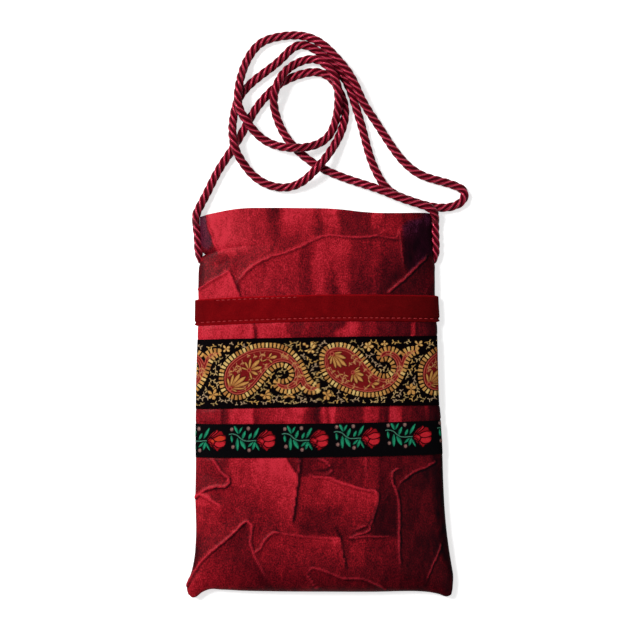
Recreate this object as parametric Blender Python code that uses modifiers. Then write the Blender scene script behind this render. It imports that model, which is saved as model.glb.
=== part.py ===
"""Shoulder bag: a flat pouch of creased taffeta, trimmed with a velvet band and two woven ribbons.

The bag lies on its back with its strap, a twisted cord, laid in loops above its mouth.
X runs across the bag, Y up it, and Z out of its front. Every length is in metres.
"""

import math

import bmesh
import bpy
import numpy as np
from mathutils import Vector
from mathutils.geometry import delaunay_2d_cdt

# Outline, between the four corners of the bag as it lies
SIDE_LENGTH = 0.2289
BASE_WIDTH = 0.1578
MOUTH_WIDTH = 0.1378
MOUTH_SHIFT = -0.0027  # the middle of the mouth lies this far to the right of the middle of the base

# How far each edge lies outside the straight line between its two corners, by the share of the way along it
LEFT_BULGE = [
    (0.0, 0.0), (0.012, 0.0010), (0.032, 0.0011), (0.056, -0.0009), (0.092, -0.0025), (0.15, -0.0032),
    (0.255, -0.0022), (0.36, -0.0017), (0.457, -0.0010), (0.569, -0.0006), (0.69, -0.0005), (0.806, -0.0002),
    (0.855, 0.0001), (0.865, -0.0012), (0.876, -0.0030), (0.892, -0.0031), (0.911, -0.0040), (0.932, -0.0024),
    (0.958, -0.0013), (0.984, -0.0009), (1.0, 0.0),
]
RIGHT_BULGE = [
    (0.0, 0.0), (0.013, 0.0009), (0.024, 0.0013), (0.051, 0.0019), (0.078, 0.0013), (0.11, 0.0005),
    (0.158, -0.0004), (0.225, -0.0010), (0.305, -0.0009), (0.385, -0.0005), (0.454, -0.0006), (0.5, -0.0009),
    (0.6, -0.0005), (0.7, 0.0002), (0.805, 0.0004), (0.849, 0.0004), (0.864, -0.0002), (0.876, -0.0017),
    (0.894, -0.0011), (0.912, -0.0007), (0.933, -0.0005), (0.957, -0.0006), (0.985, -0.0010), (1.0, 0.0),
]
BASE_BULGE = [
    (0.0, 0.0), (0.01, 0.0009), (0.047, -0.0025), (0.07, -0.0040), (0.125, -0.0040), (0.20, -0.0034),
    (0.32, -0.0030), (0.54, -0.0028), (0.73, -0.0028), (0.81, -0.0031), (0.87, -0.0031), (0.92, -0.0025),
    (0.96, -0.0012), (0.987, 0.0003), (1.0, 0.0),
]
MOUTH_BULGE = [
    (0.0, 0.0), (0.037, 0.0015), (0.079, 0.0027), (0.145, 0.0043), (0.204, 0.0050), (0.265, 0.0051),
    (0.434, 0.0050), (0.561, 0.0047), (0.626, 0.0040), (0.69, 0.0029), (0.753, 0.0021), (0.857, 0.0018),
    (0.953, 0.0018), (0.987, 0.0012), (1.0, 0.0),
]

# Height of the pouch
BAG_THICKNESS = 0.0130
SEAM_HEIGHT = 0.0032  # the seam between the two panels, above what the bag lies on
MOUTH_HEIGHT_SHARE = 0.76  # the front stands this share as high at the mouth as in the middle
MOUTH_FALL = 0.030  # over this length below the mouth
BASE_ROLL = 0.019  # the front curves down to the base seam over this length
BACK_ROLL = 0.006  # the back curves up to the seam over this length
ROLL_POWER = 0.8  # how flat the front is across: 1 is an ellipse, less is flatter
WAVE_HEIGHT = 0.0005  # slack cloth waves this much
WAVE_LENGTH = 0.085

# Cloth
FABRIC = 0.0008
LINING = 0.0005
GAP = 0.0003  # between two pieces that touch
FACET_ROOM = 0.0001  # the panels' facets dip this little between their points
RECESS_SLOPE = 0.0024  # the back panel rises over the velvet band within this length
LINING_MARGIN = 0.004  # the lining rises this far before the recess
SEAM_ALLOWANCE = 0.007
SEAM_ROOM = 0.0025  # between the lining and the allowances at the sides
CORNER_CLIP = 0.8  # the allowance narrows to this share of the distance to the corner
FACING = 0.012  # turned in at the mouth
FACING_FOLD = 0.0005  # room inside the turned edge

# Heat-set creases: thin ridges in the front panel
RIDGE_HEIGHT = 0.0007
RIDGE_HALF_WIDTH = 0.0011
RIDGE_CLEARANCE = 0.0024  # the panel's own net keeps this far from a ridge
# Each crease runs through points (across from -1 to 1, up from 0 to 1)
CREASES = [
    [(-0.96, 0.995), (-0.888, 0.938), (-0.838, 0.897)],
    [(-0.685, 0.818), (-0.52, 0.868), (-0.28, 0.893), (-0.05, 0.926), (0.09, 0.94), (0.2, 0.932),
     (0.49, 0.938), (0.61, 0.962)],
    [(0.49, 0.938), (0.67, 0.934), (0.70, 0.953)],
    [(0.692, 0.931), (0.705, 0.895), (0.74, 0.843)],
    [(0.575, 0.785), (0.74, 0.832), (0.875, 0.872), (0.95, 0.895)],
    [(-0.99, 0.805), (-0.905, 0.83), (-0.76, 0.855), (-0.72, 0.823), (-0.67, 0.79)],
    [(-0.915, 0.35), (-0.81, 0.323), (-0.755, 0.293), (-0.815, 0.282), (-0.96, 0.276), (-0.995, 0.262)],
    [(-0.96, 0.276), (-0.82, 0.23)],
    [(-0.985, 0.03), (-0.84, 0.112), (-0.69, 0.155), (-0.54, 0.195), (-0.525, 0.155), (-0.495, 0.108)],
    [(-0.495, 0.108), (-0.385, 0.155), (-0.26, 0.15), (0.07, 0.146)],
    [(-0.495, 0.108), (-0.44, 0.055), (-0.36, 0.02)],
    [(-0.165, 0.361), (-0.16, 0.327), (-0.19, 0.25), (-0.23, 0.18), (-0.265, 0.153)],
    [(-0.335, 0.358), (-0.19, 0.32)],
    [(-0.02, 0.012), (-0.105, 0.055), (0.02, 0.06), (0.165, 0.038), (0.32, 0.04), (0.47, 0.012)],
    [(0.01, 0.35), (0.09, 0.328), (0.06, 0.313), (0.26, 0.283), (0.44, 0.268), (0.42, 0.22), (0.37, 0.182),
     (0.32, 0.152), (0.23, 0.146)],
    [(0.11, 0.176), (0.155, 0.12), (0.19, 0.062)],
    [(0.36, 0.153), (0.535, 0.15)],
    [(0.645, 0.334), (0.575, 0.305), (0.6, 0.276), (0.63, 0.24), (0.625, 0.16), (0.615, 0.065)],
    [(0.63, 0.265), (0.73, 0.32), (0.885, 0.344)],
    [(0.735, 0.015), (0.85, 0.08), (0.925, 0.138)],
    [(0.36, 0.365), (0.365, 0.29)],
]

# Trimmings across the bag: how high the middle of each lies, at the left side, the middle and the right side
VELVET = 0.0009
VELVET_WIDTH = 0.0160
VELVET_HEIGHTS = (0.0540, 0.0567, 0.0563)
RIBBON = 0.0005
PAISLEY_WIDTH = 0.0415
PAISLEY_HEIGHTS = (0.0171, 0.0187, 0.0194)
ROSE_WIDTH = 0.0201
ROSE_HEIGHTS = (-0.0225, -0.0220, -0.0205)
RIBBON_END_ANGLE = math.radians(80)  # the ribbons run this far round towards the side seams

# Strap
CORD_DIAMETER = 0.0048
CORD_STEP_MOST = 0.0144  # along a straight stretch of the tube
CORD_TURN_MOST = math.radians(31)  # between two points of the tube in a bend
CORD_SIDES = 3  # as a bevel resolution
TACK_THREAD = 0.0005
TACK_TURNS = 3
TACK_PITCH = 0.0012
TACK_POINTS = 10  # in each turn

# Net of points that the front panel is drawn on
COLUMNS = 24
BASE_ROWS = 5
SIDE_NOTCH_ROWS = [0.845, 0.855, 0.865, 0.876, 0.892, 0.911, 0.932, 0.958, 0.984]  # where the cord lies
ROW_STEP = 0.0088
LINING_COLUMNS = 14
LINING_ROWS = 12
VELVET_ROWS = 2

MM = 0.001
CURVE_STEPS = 24  # points on the strap's smooth curve from one of its route's points to the next
# The strap's route in millimetres: from the left side seam over the corner, round its loops to the right
CORD_ROUTE = [
    (-72.4, 83.5, 3.3), (-72.8, 89.2, 3.3), (-73.3, 95.2, 3.3), (-73.6, 101.8, 3.3), (-74.6, 108.1, 3.4),
    (-74.2, 113.5, 3.3), (-71.6, 119.2, 2.9), (-66.7, 128.8, 2.4), (-61.1, 139.7, 2.4), (-53.3, 151.7, 2.4),
    (-46.1, 163.7, 2.4), (-38.9, 176.2, 2.4), (-31.4, 185.5, 2.4), (-22.7, 192.8, 2.4), (-10.7, 197.8, 2.4),
    (-1.1, 198.8, 2.4), (6.4, 195.3, 2.4), (11.3, 188.2, 2.4), (14.6, 179.8, 2.4), (14.8, 170.2, 2.4),
    (10.6, 158.2, 3.4), (3.7, 147.2, 6.4), (-1.1, 141.4, 7.5), (-9.2, 133.7, 5.2), (-19.1, 129.6, 2.8),
    (-29.9, 130.7, 2.4), (-39.5, 136.2, 2.4), (-46.7, 144.8, 4.9), (-51.1, 153.7, 7.6), (-52.6, 164.2, 5.2),
    (-51.8, 173.2, 2.4), (-49.1, 182.5, 2.4), (-42.8, 190.9, 2.4), (-33.2, 198.8, 2.4), (-23.3, 206.8, 2.4),
    (-16.1, 213.6, 2.4), (-9.8, 215.2, 2.4), (-2.9, 212.5, 2.4), (7.0, 204.9, 2.4), (16.3, 192.4, 2.4),
    (21.1, 179.8, 2.4), (25.9, 163.7, 2.4), (30.2, 148.0, 2.4), (35.8, 135.4, 2.4), (42.7, 127.0, 2.4),
    (52.9, 122.2, 2.4), (63.1, 118.9, 2.4), (73.3, 117.3, 2.4), (81.4, 118.6, 2.4), (86.3, 122.2, 2.4),
    (86.8, 126.7, 2.4), (82.9, 129.9, 2.4), (72.1, 133.4, 2.4), (60.7, 137.2, 2.4), (50.5, 145.0, 2.4),
    (41.2, 157.3, 2.4), (33.1, 169.7, 3.0), (25.6, 181.3, 5.6), (18.8, 195.4, 6.4), (9.9, 207.0, 6.5),
    (1.3, 215.2, 6.3), (-7.1, 219.7, 4.2), (-16.1, 221.1, 2.4), (-26.9, 219.8, 2.4), (-35.9, 216.2, 2.4),
    (-42.8, 208.0, 2.5), (-46.9, 197.8, 4.6), (-49.0, 186.4, 7.5), (-48.4, 177.2, 7.4), (-44.1, 169.2, 7.8),
    (-37.1, 160.7, 5.6), (-28.1, 155.1, 5.0), (-17.9, 152.8, 7.2), (-11.9, 152.9, 7.2), (-2.9, 154.9, 4.2),
    (5.0, 160.3, 2.6), (9.3, 169.0, 3.4), (11.0, 179.2, 6.6), (10.5, 189.4, 7.5), (7.6, 197.6, 7.5),
    (1.6, 204.3, 6.4), (-6.2, 206.5, 3.4), (-14.6, 203.8, 3.0), (-21.8, 197.5, 6.4), (-25.7, 190.5, 7.5),
    (-27.6, 182.8, 6.0), (-26.6, 173.8, 2.6), (-22.1, 162.8, 2.4), (-14.3, 152.6, 2.4), (-2.3, 143.1, 2.4),
    (10.9, 136.7, 2.5), (24.1, 132.0, 4.0), (37.3, 127.3, 7.1), (49.3, 122.5, 7.5), (58.9, 119.4, 7.5),
    (64.3, 117.4, 7.5), (67.4, 115.5, 7.0), (69.1, 112.9, 5.3), (69.4, 109.3, 3.6), (69.3, 103.6, 3.3),
    (69.5, 97.0, 3.3), (69.5, 90.5, 3.3), (69.1, 83.5, 3.3),
]
LEFT_TACK = 4  # the route's point that is sewn to the left corner of the mouth
RIGHT_TACK = -5

FRONT_RIM = SEAM_HEIGHT + GAP / 2 + FABRIC  # the inner face of the front panel's seam allowance
BACK_RIM = SEAM_HEIGHT - GAP / 2 - FABRIC
FRONT_RISE = BAG_THICKNESS - FABRIC - FRONT_RIM
QUARTER = math.pi / 2
# The panel laid flat is as wide as half a turn times this, so that its net is about square
FLAT_SCALE = BASE_WIDTH / math.pi


def smooth(points, at):
    """The soft curve through (place, value) points, read at one place."""
    places, values = (np.array(row, float) for row in zip(*points))
    slopes = np.gradient(values, places)
    i = int(np.clip(np.searchsorted(places, at) - 1, 0, len(places) - 2))
    step = places[i + 1] - places[i]
    s = (at - places[i]) / step
    start = (1 + 2 * s) * (1 - s) ** 2 * values[i] + s * (1 - s) ** 2 * step * slopes[i]
    end = s * s * (3 - 2 * s) * values[i + 1] + s * s * (s - 1) * step * slopes[i + 1]
    return float(start + end)


def quarter_round(distance, radius):
    """How far a quarter-round has risen, from 0 at its radius inwards to 1 at the edge."""
    s = min(max(distance / radius, 0.0), 1.0)
    return 1 - math.sqrt(1 - (1 - s) ** 2)


def ease(s):
    """0 to 1, level at both ends."""
    s = min(max(s, 0.0), 1.0)
    return s * s * (3 - 2 * s)


def edges_at(across, up):
    """Left, right, lower and upper limits of the bag's outline at a place on it."""
    left = -BASE_WIDTH / 2 + up * (MOUTH_SHIFT + (BASE_WIDTH - MOUTH_WIDTH) / 2) - smooth(LEFT_BULGE, up)
    right = BASE_WIDTH / 2 + up * (MOUTH_SHIFT - (BASE_WIDTH - MOUTH_WIDTH) / 2) + smooth(RIGHT_BULGE, up)
    share = (across + 1) / 2
    low = -SIDE_LENGTH / 2 - smooth(BASE_BULGE, share)
    high = SIDE_LENGTH / 2 + smooth(MOUTH_BULGE, share)
    return left, right, low - BASE_DROP, high - BASE_DROP


def plan(across, up, inset):
    """Where a place on the bag (across -1 to 1, up 0 to 1) lies on the table."""
    left, right, low, high = edges_at(across, up)
    x = left + inset + (right - left - 2 * inset) * (across + 1) / 2
    y = low + inset + (high - low - 2 * inset) * up
    return x, y


def across_of(turn):
    return math.copysign(abs(math.sin(turn)) ** ROLL_POWER, math.sin(turn))


def turn_of(across):
    return math.copysign(math.asin(min(abs(across), 1.0) ** (1 / ROLL_POWER)), across)


def front_point(turn, up, lift=0.0):
    """A point of the front panel's inner face. turn goes from -90 to 90 degrees over the pouch's round."""
    across = across_of(turn)
    x, y = plan(across, up, FABRIC)
    base = min(max(up * SIDE_LENGTH / BASE_ROLL, 0.0), 1.0)
    fall = (1 - MOUTH_HEIGHT_SHARE) * ease(1 - (1 - up) * SIDE_LENGTH / MOUTH_FALL)
    arch = math.cos(turn) * math.sqrt(1 - (1 - base) ** 2)
    wave = WAVE_HEIGHT * math.sin(2 * math.pi * (x + 0.6 * y) / WAVE_LENGTH)
    return Vector((x, y, FRONT_RIM + arch * ((1 - fall) * FRONT_RISE + wave - WAVE_HEIGHT) + lift))


def velvet_recess(across, y, margin, slope):
    """The back panel gives way to the velvet band, so that the bag still lies flat."""
    away = abs(y - trim_height(VELVET_HEIGHTS, across)) - VELVET_WIDTH / 2 - margin
    return (VELVET + GAP) * (1 - ease(away / slope))


def back_point(turn, up, margin=GAP, slope=RECESS_SLOPE):
    """A point of the back panel's inner face, which is its upper one."""
    across = across_of(turn)
    x, y = plan(across, up, FABRIC)
    left, right, _, _ = edges_at(across, up)
    side = quarter_round((1 - abs(across)) * (right - left) / 2, BACK_ROLL)
    base = quarter_round(up * SIDE_LENGTH, BACK_ROLL)
    floor = FABRIC + velvet_recess(across, y, margin, slope)
    rise = 1 - (1 - side) * (1 - base)
    return Vector((x, y, floor + (BACK_RIM - floor) * rise))


def above_back(turn, up):
    """Where the lining lies on the back panel: it bridges the edges of the velvet's recess."""
    return back_point(turn, up, LINING_MARGIN, 2 * LINING_MARGIN) + Vector((0, 0, GAP))


def off_surface(point_at, turn, up, distance):
    """A point that lies off a panel's inner face by this distance, towards the outside of the bag."""
    small = 0.001
    across = point_at(min(turn + small, QUARTER), up) - point_at(max(turn - small, -QUARTER), up)
    along = point_at(turn, up + small) - point_at(turn, up - small)
    normal = across.cross(along).normalized()
    if point_at is back_point:
        normal = -normal
    return point_at(turn, up) + normal * distance


def trim_height(heights, across):
    """The middle of a trimming, by its heights at the left side, the middle and the right side."""
    left, middle, right = heights
    return middle + across * (right - left) / 2 + across * across * ((left + right) / 2 - middle)


def up_at(across, y):
    _, _, low, high = edges_at(across, 0.5)
    return (y - low - FABRIC) / (high - low - 2 * FABRIC)


def middle_drop():
    """How far the outline has to come down for its box to be centred on the origin."""
    shares = np.linspace(0, 1, 201)
    low = -max(smooth(BASE_BULGE, s) for s in shares)
    high = max(smooth(MOUTH_BULGE, s) for s in shares)
    return (low + high) / 2


BASE_DROP = middle_drop()


# Building


def material(name, colour, roughness, metallic=0.0):
    made = bpy.data.materials.new(name)
    made.use_nodes = True
    shader = made.node_tree.nodes["Principled BSDF"]
    shader.inputs["Base Color"].default_value = (*colour, 1.0)
    shader.inputs["Roughness"].default_value = roughness
    shader.inputs["Metallic"].default_value = metallic
    made.diffuse_color = (*colour, 1.0)
    return made


def cloth(name, points, faces, thickness, offset, finish):
    """An object of cloth: a surface with its outer side up in faces, thickened by Solidify."""
    mesh = bpy.data.meshes.new(name)
    mesh.from_pydata([tuple(p) for p in points], [], faces)
    mesh.validate()
    made = bpy.data.objects.new(name, mesh)
    collection.objects.link(made)
    mesh.materials.append(finish)
    thicken = made.modifiers.new("thickness", "SOLIDIFY")
    thicken.thickness = thickness
    thicken.offset = offset
    thicken.use_quality_normals = True
    return made


def strips(rings, closed=False):
    """Points and faces of a surface through rings of points, each ring as long as the last."""
    points = [p for ring in rings for p in ring]
    count = len(rings[0])
    faces = []
    for r in range(len(rings) - 1):
        for i in range(count if closed else count - 1):
            j = (i + 1) % count
            faces.append((r * count + i, r * count + j, (r + 1) * count + j, (r + 1) * count + i))
    return points, faces


def columns(count):
    return [QUARTER * (2 * i / count - 1) for i in range(count + 1)]


def rows():
    """Fractions up the bag: close together in the roll at the base, then about evenly spaced."""
    roll = BASE_ROLL / SIDE_LENGTH
    base = [roll * (1 - math.cos(QUARTER * i / BASE_ROWS)) for i in range(BASE_ROWS)]
    return base + with_notch(list(np.linspace(roll, 1.0, round((1 - roll) * SIDE_LENGTH / ROW_STEP))))


def with_notch(ups):
    """The rows again, with those along the notches in the sides in place of the ones near them."""
    low, high = SIDE_NOTCH_ROWS[0], SIDE_NOTCH_ROWS[-1]
    return sorted([float(up) for up in ups if up < low - 0.01 or up > high + 0.01] + SIDE_NOTCH_ROWS)


def flat(across, up):
    return Vector((turn_of(across) * FLAT_SCALE, up * SIDE_LENGTH))


def distance_to_line(point, line):
    best = math.inf
    for a, b in zip(line, line[1:]):
        share = (point - a).dot(b - a) / max((b - a).length_squared, 1e-12)
        best = min(best, (a + (b - a) * min(max(share, 0.0), 1.0) - point).length)
    return best


def crease_points():
    """Ridge points (flat place, share of the height), the lines between them, and the feet beside them."""
    lines = [[flat(*p) for p in crease] for crease in CREASES]
    ridge, edges, feet = [], [], []
    for n, line in enumerate(lines):
        others = [other for m, other in enumerate(lines) if m != n]
        fine = [line[0]]
        for a, b in zip(line, line[1:]):
            pieces = max(1, round((b - a).length / ROW_STEP))
            fine += [a + (b - a) * (k + 1) / pieces for k in range(pieces)]
        before = None
        for i, p in enumerate(fine):
            inner = 0 < i < len(fine) - 1
            joins = any(distance_to_line(p, other) < RIDGE_HALF_WIDTH for other in others)
            known = [k for k, (q, _) in enumerate(ridge) if (q - p).length < RIDGE_HALF_WIDTH]
            here = known[0] if known else len(ridge)
            if not known:
                ridge.append((p, 1.0 if inner or joins else 0.0))
            if before is not None and before != here:
                edges.append((before, here))
            before = here
            if inner:
                along = (fine[i + 1] - fine[i - 1]).normalized()
                side = Vector((-along.y, along.x)) * RIDGE_HALF_WIDTH
                feet += [p + side, p - side]
    apart = []
    for p in feet:
        clear = all((p - q).length > RIDGE_HALF_WIDTH * 0.8 for q in apart)
        if clear and min(distance_to_line(p, line) for line in lines) > RIDGE_HALF_WIDTH * 0.8:
            apart.append(p)
    return lines, ridge, edges, apart


def front_net():
    """The front panel as a flat net with its creases drawn in: flat points, heights and triangles."""
    turns, ups = columns(COLUMNS), rows()
    half, top = QUARTER * FLAT_SCALE, SIDE_LENGTH
    lines, ridge, edges, feet = crease_points()
    points = [p for p, _ in ridge]
    heights = [h for _, h in ridge]
    rim = [(t, 0.0) for t in turns] + [(QUARTER, up) for up in ups[1:]]
    rim += [(t, 1.0) for t in turns[-2::-1]] + [(-QUARTER, up) for up in ups[-2:0:-1]]
    first = len(points)
    points += [Vector((t * FLAT_SCALE, up * SIDE_LENGTH)) for t, up in rim]
    edges += [(first + i, first + (i + 1) % len(rim)) for i in range(len(rim))]
    net = [p for p in feet if abs(p.x) < half - RIDGE_HALF_WIDTH and 0.002 < p.y < top - 0.002]
    for t in turns[1:-1]:
        for up in ups[1:-1]:
            p = Vector((t * FLAT_SCALE, up * SIDE_LENGTH))
            if min(distance_to_line(p, line) for line in lines) > RIDGE_CLEARANCE:
                net.append(p)
    points += net
    heights += [0.0] * (len(points) - len(heights))
    made, _, faces, came_from, _, _ = delaunay_2d_cdt(points, edges, [], 0, 1e-6)
    lifts = [max((heights[k] for k in source), default=1.0) for source in came_from]
    return made, lifts, [tuple(f) for f in faces]


def add_turned_edges(points, faces, loop, mouth, point_at, rim, facing_side):
    """Turns a panel's edges in: the seam allowance along the sides and base, and the facing at the mouth.

    loop holds (number, turn) of the points from the mouth's left corner round the base to its right one,
    and mouth those of the points along the mouth.
    """
    corners = [point_at(-QUARTER, 0.0), point_at(QUARTER, 0.0)]
    previous = None
    for outer, turn in loop:
        p = points[outer]
        near = min((p - corner).length for corner in corners)
        width = min(SEAM_ALLOWANCE, CORNER_CLIP * near / math.sqrt(2))
        inner = outer
        if near > GAP:
            inner = len(points)
            on_base = abs(turn) < QUARTER - 0.001
            way = Vector((0, 1, 0)) if on_base else Vector((-math.copysign(1, turn), 0, 0))
            points.append(Vector((p.x, p.y, rim)) + way * width)
        if previous is not None:
            quad = [previous[0], outer, inner, previous[1]]
            faces.append(tuple(dict.fromkeys(quad)))
        previous = (outer, inner)
    limit = 1 - 2 * (SEAM_ALLOWANCE + 2 * FABRIC) / MOUTH_WIDTH
    lines = [1.0, 1 - FACING / 2 / SIDE_LENGTH, 1 - FACING / SIDE_LENGTH]
    strip = []
    for number, turn in mouth:
        if abs(across_of(turn)) <= limit:
            row = [number]
            for up in lines:
                row.append(len(points))
                points.append(point_at(turn, up) + Vector((0, 0, facing_side * FACING_FOLD)))
            strip.append(row)
    for a, b in zip(strip, strip[1:]):
        faces += [(a[k], b[k], b[k + 1], a[k + 1]) for k in range(len(a) - 1)]


def oriented(points, faces, upwards):
    """The faces, all turned the same way, with those in the middle of the panel facing up or down."""
    mesh = bmesh.new()
    verts = [mesh.verts.new(p) for p in points]
    for f in faces:
        mesh.faces.new([verts[i] for i in f])
    bmesh.ops.recalc_face_normals(mesh, faces=mesh.faces)
    mesh.normal_update()
    mesh.faces.ensure_lookup_table()
    mesh.verts.index_update()
    flip = (mesh.faces[0].normal.z > 0) != upwards
    turned = [tuple(v.index for v in f.verts) for f in mesh.faces]
    mesh.free()
    return [f[::-1] for f in turned] if flip else turned


def make_front_panel():
    flat_points, lifts, faces = front_net()
    points = []
    for p, lift in zip(flat_points, lifts):
        points.append(front_point(p.x / FLAT_SCALE, p.y / SIDE_LENGTH, lift * RIDGE_HEIGHT))
    places = np.array([tuple(p) for p in flat_points])

    def numbered(turn, up):
        """The net's point at a place, although 32-bit numbers have rounded it."""
        away = places - np.array((turn * FLAT_SCALE, up * SIDE_LENGTH))
        return int(np.abs(away).sum(axis=1).argmin()), turn

    turns, ups = columns(COLUMNS), rows()
    loop = [numbered(-QUARTER, up) for up in ups[::-1]] + [numbered(t, 0.0) for t in turns[1:-1]]
    loop += [numbered(QUARTER, up) for up in ups]
    mouth = [numbered(t, 1.0) for t in turns]
    add_turned_edges(points, faces, loop, mouth, front_point, FRONT_RIM, -1)
    return cloth("front_panel", points, oriented(points, faces, True), FABRIC, 1.0, TAFFETA)


def rows_round_velvet(even, reaches, margin):
    """Rows of a sheet under the bag: even ones, given by their height up the bag, apart from the velvet band,
    and others that follow the band at each reach from its middle."""
    offsets = sorted(side * reach for reach in reaches for side in (-1, 1))

    def row_of(up):
        return lambda across: up

    def band_row_of(offset):
        return lambda across: up_at(across, trim_height(VELVET_HEIGHTS, across) + offset)

    shares = (-1.0, 0.0, 1.0)
    low = min(band_row_of(offsets[0])(across) for across in shares) - margin / SIDE_LENGTH
    high = max(band_row_of(offsets[-1])(across) for across in shares) + margin / SIDE_LENGTH
    below = [row_of(up) for up in even if up < low]
    above = [row_of(up) for up in even if up > high]
    return below + [band_row_of(offset) for offset in offsets] + above


def make_back_panel():
    turns = columns(COLUMNS)
    even = [BACK_ROLL / SIDE_LENGTH * (1 - math.cos(QUARTER * i / 3)) for i in range(3)]
    even += with_notch(list(np.linspace(BACK_ROLL / SIDE_LENGTH, 1.0, round(SIDE_LENGTH / (2 * ROW_STEP)))))
    reaches = [VELVET_WIDTH / 2 + GAP + RECESS_SLOPE * k for k in (0, 0.5, 1)]
    bands = rows_round_velvet(even, reaches, RECESS_SLOPE)
    points, faces = strips([[back_point(t, row(across_of(t))) for t in turns] for row in bands])
    count, last = len(turns), len(bands) - 1
    loop = [(r * count, -QUARTER) for r in range(last, -1, -1)]
    loop += [(i, turns[i]) for i in range(1, count - 1)]
    loop += [(r * count + count - 1, QUARTER) for r in range(last + 1)]
    mouth = [(last * count + i, turns[i]) for i in range(count)]
    add_turned_edges(points, faces, loop, mouth, back_point, BACK_RIM, 1)
    return cloth("back_panel", points, oriented(points, faces, False), FABRIC, 1.0, TAFFETA)


def make_lining():
    """The lining is a pocket of its own, between the seam allowances and up to the facings."""
    limit = 1 - 2 * (SEAM_ALLOWANCE + FABRIC + SEAM_ROOM) / MOUTH_WIDTH
    low = (SEAM_ALLOWANCE + FABRIC + 2 * GAP) / SIDE_LENGTH
    high = 1 - (FACING + FABRIC + GAP) / SIDE_LENGTH
    widest = turn_of(limit)
    turns = [widest * k / (LINING_COLUMNS // 2) for k in range(-LINING_COLUMNS // 2, LINING_COLUMNS // 2 + 1)]
    even = [up for up in with_notch(list(np.linspace(low, high, LINING_ROWS))) if up < high - 0.01] + [high]
    reaches = [VELVET_WIDTH / 2 + LINING_MARGIN * k for k in (1, 2, 3)]
    rings = []
    for row in rows_round_velvet(even, reaches, LINING_MARGIN):
        over = [off_surface(front_point, t, row(across_of(t)), -GAP - FACET_ROOM) for t in turns]
        under = [above_back(t, row(across_of(t))) for t in reversed(turns)]
        rings.append(over + under)
    points, faces = strips(rings, closed=True)
    count = len(turns)
    faces += [(i, i + 1, 2 * count - 2 - i, 2 * count - 1 - i) for i in range(count - 1)]
    return cloth("lining", points, oriented(points, faces, True), LINING, -1.0, LINING_CLOTH)


def trim_rings(heights, width, turns, point_at, distance, steps):
    """Rows of points along a trimming, from its lower edge to its upper one, just off the panel."""
    rings = []
    for k in range(steps + 1):
        ring = []
        for turn in turns:
            across = across_of(turn)
            y = trim_height(heights, across) + width * (k / steps - 0.5)
            ring.append(off_surface(point_at, turn, up_at(across, y), distance))
        rings.append(ring)
    return rings


def make_ribbon(name, heights, width, finish):
    turns = [t for t in columns(COLUMNS) if abs(t) < RIBBON_END_ANGLE]
    turns = [-RIBBON_END_ANGLE] + turns + [RIBBON_END_ANGLE]
    steps = max(2, round(width / ROW_STEP))
    rings = trim_rings(heights, width, turns, front_point, FABRIC + GAP, steps)
    points, faces = strips(rings)
    return cloth(name, points, oriented(points, faces, True), RIBBON, 1.0, finish)


def make_velvet_band():
    """The velvet goes right round the bag, over the front and back under the back."""
    turns = columns(COLUMNS)
    off = FABRIC + GAP
    over = trim_rings(VELVET_HEIGHTS, VELVET_WIDTH, turns, front_point, off, VELVET_ROWS)
    under = trim_rings(VELVET_HEIGHTS, VELVET_WIDTH, turns[::-1], back_point, off, VELVET_ROWS)
    rings = [a + b for a, b in zip(over, under)]
    points, faces = strips(rings, closed=True)
    return cloth("velvet_band", points, oriented(points, faces, True), VELVET, 1.0, VELVET_PILE)


def soft_curve(route):
    """Points close together on the smooth curve through the route's points."""
    p = np.array(route, float)
    knots = np.concatenate([[0], np.cumsum(np.sqrt(np.linalg.norm(np.diff(p, axis=0), axis=1)))])
    h = np.diff(knots)
    count = len(p)
    system, right = np.eye(count), np.zeros((count, 3))
    for i in range(1, count - 1):
        system[i, i - 1 : i + 2] = h[i - 1], 2 * (h[i - 1] + h[i]), h[i]
        right[i] = 6 * ((p[i + 1] - p[i]) / h[i] - (p[i] - p[i - 1]) / h[i - 1])
    bend = np.linalg.solve(system, right)
    curve = []
    for i in range(count - 1):
        for s in np.arange(CURVE_STEPS) / CURVE_STEPS * h[i]:
            rest = h[i] - s
            curved = (bend[i] * rest**3 + bend[i + 1] * s**3) / (6 * h[i])
            start = (p[i] / h[i] - bend[i] * h[i] / 6) * rest
            curve.append(curved + start + (p[i + 1] / h[i] - bend[i + 1] * h[i] / 6) * s)
    curve.append(p[-1])
    curve = np.array(curve)
    curve[:, 2] = np.maximum(curve[:, 2], CORD_DIAMETER / 2)
    return curve


def tube_points(curve, tacks):
    """Points of the tube: as far apart as a straight stretch allows, and closer in a bend and at a tack."""
    ways = np.diff(curve, axis=0)
    lengths = np.linalg.norm(ways, axis=1)
    ways /= lengths[:, None]
    along = np.concatenate([[0], np.cumsum(lengths)])
    kept, run, turned = [curve[0]], 0.0, 0.0
    for i in range(1, len(curve) - 1):
        run += lengths[i - 1]
        turned += math.acos(min(1.0, float(ways[i] @ ways[i - 1])))
        at_tack = any(abs(along[i] - along[t]) < TACK_TURNS * TACK_PITCH for t in tacks)
        if run > CORD_STEP_MOST or turned > CORD_TURN_MOST or (at_tack and run > CORD_DIAMETER / 2):
            kept.append(curve[i])
            run, turned = 0.0, 0.0
    return kept + [curve[-1]]


def tube(name, points, diameter, sides, finish):
    curve = bpy.data.curves.new(name, "CURVE")
    curve.dimensions = "3D"
    curve.bevel_depth = diameter / 2
    curve.bevel_resolution = sides
    curve.use_fill_caps = True
    line = curve.splines.new("POLY")
    line.points.add(len(points) - 1)
    for point, place in zip(line.points, points):
        point.co = (*place, 1.0)
    made = bpy.data.objects.new(name, curve)
    collection.objects.link(made)
    curve.materials.append(finish)
    return made


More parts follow.
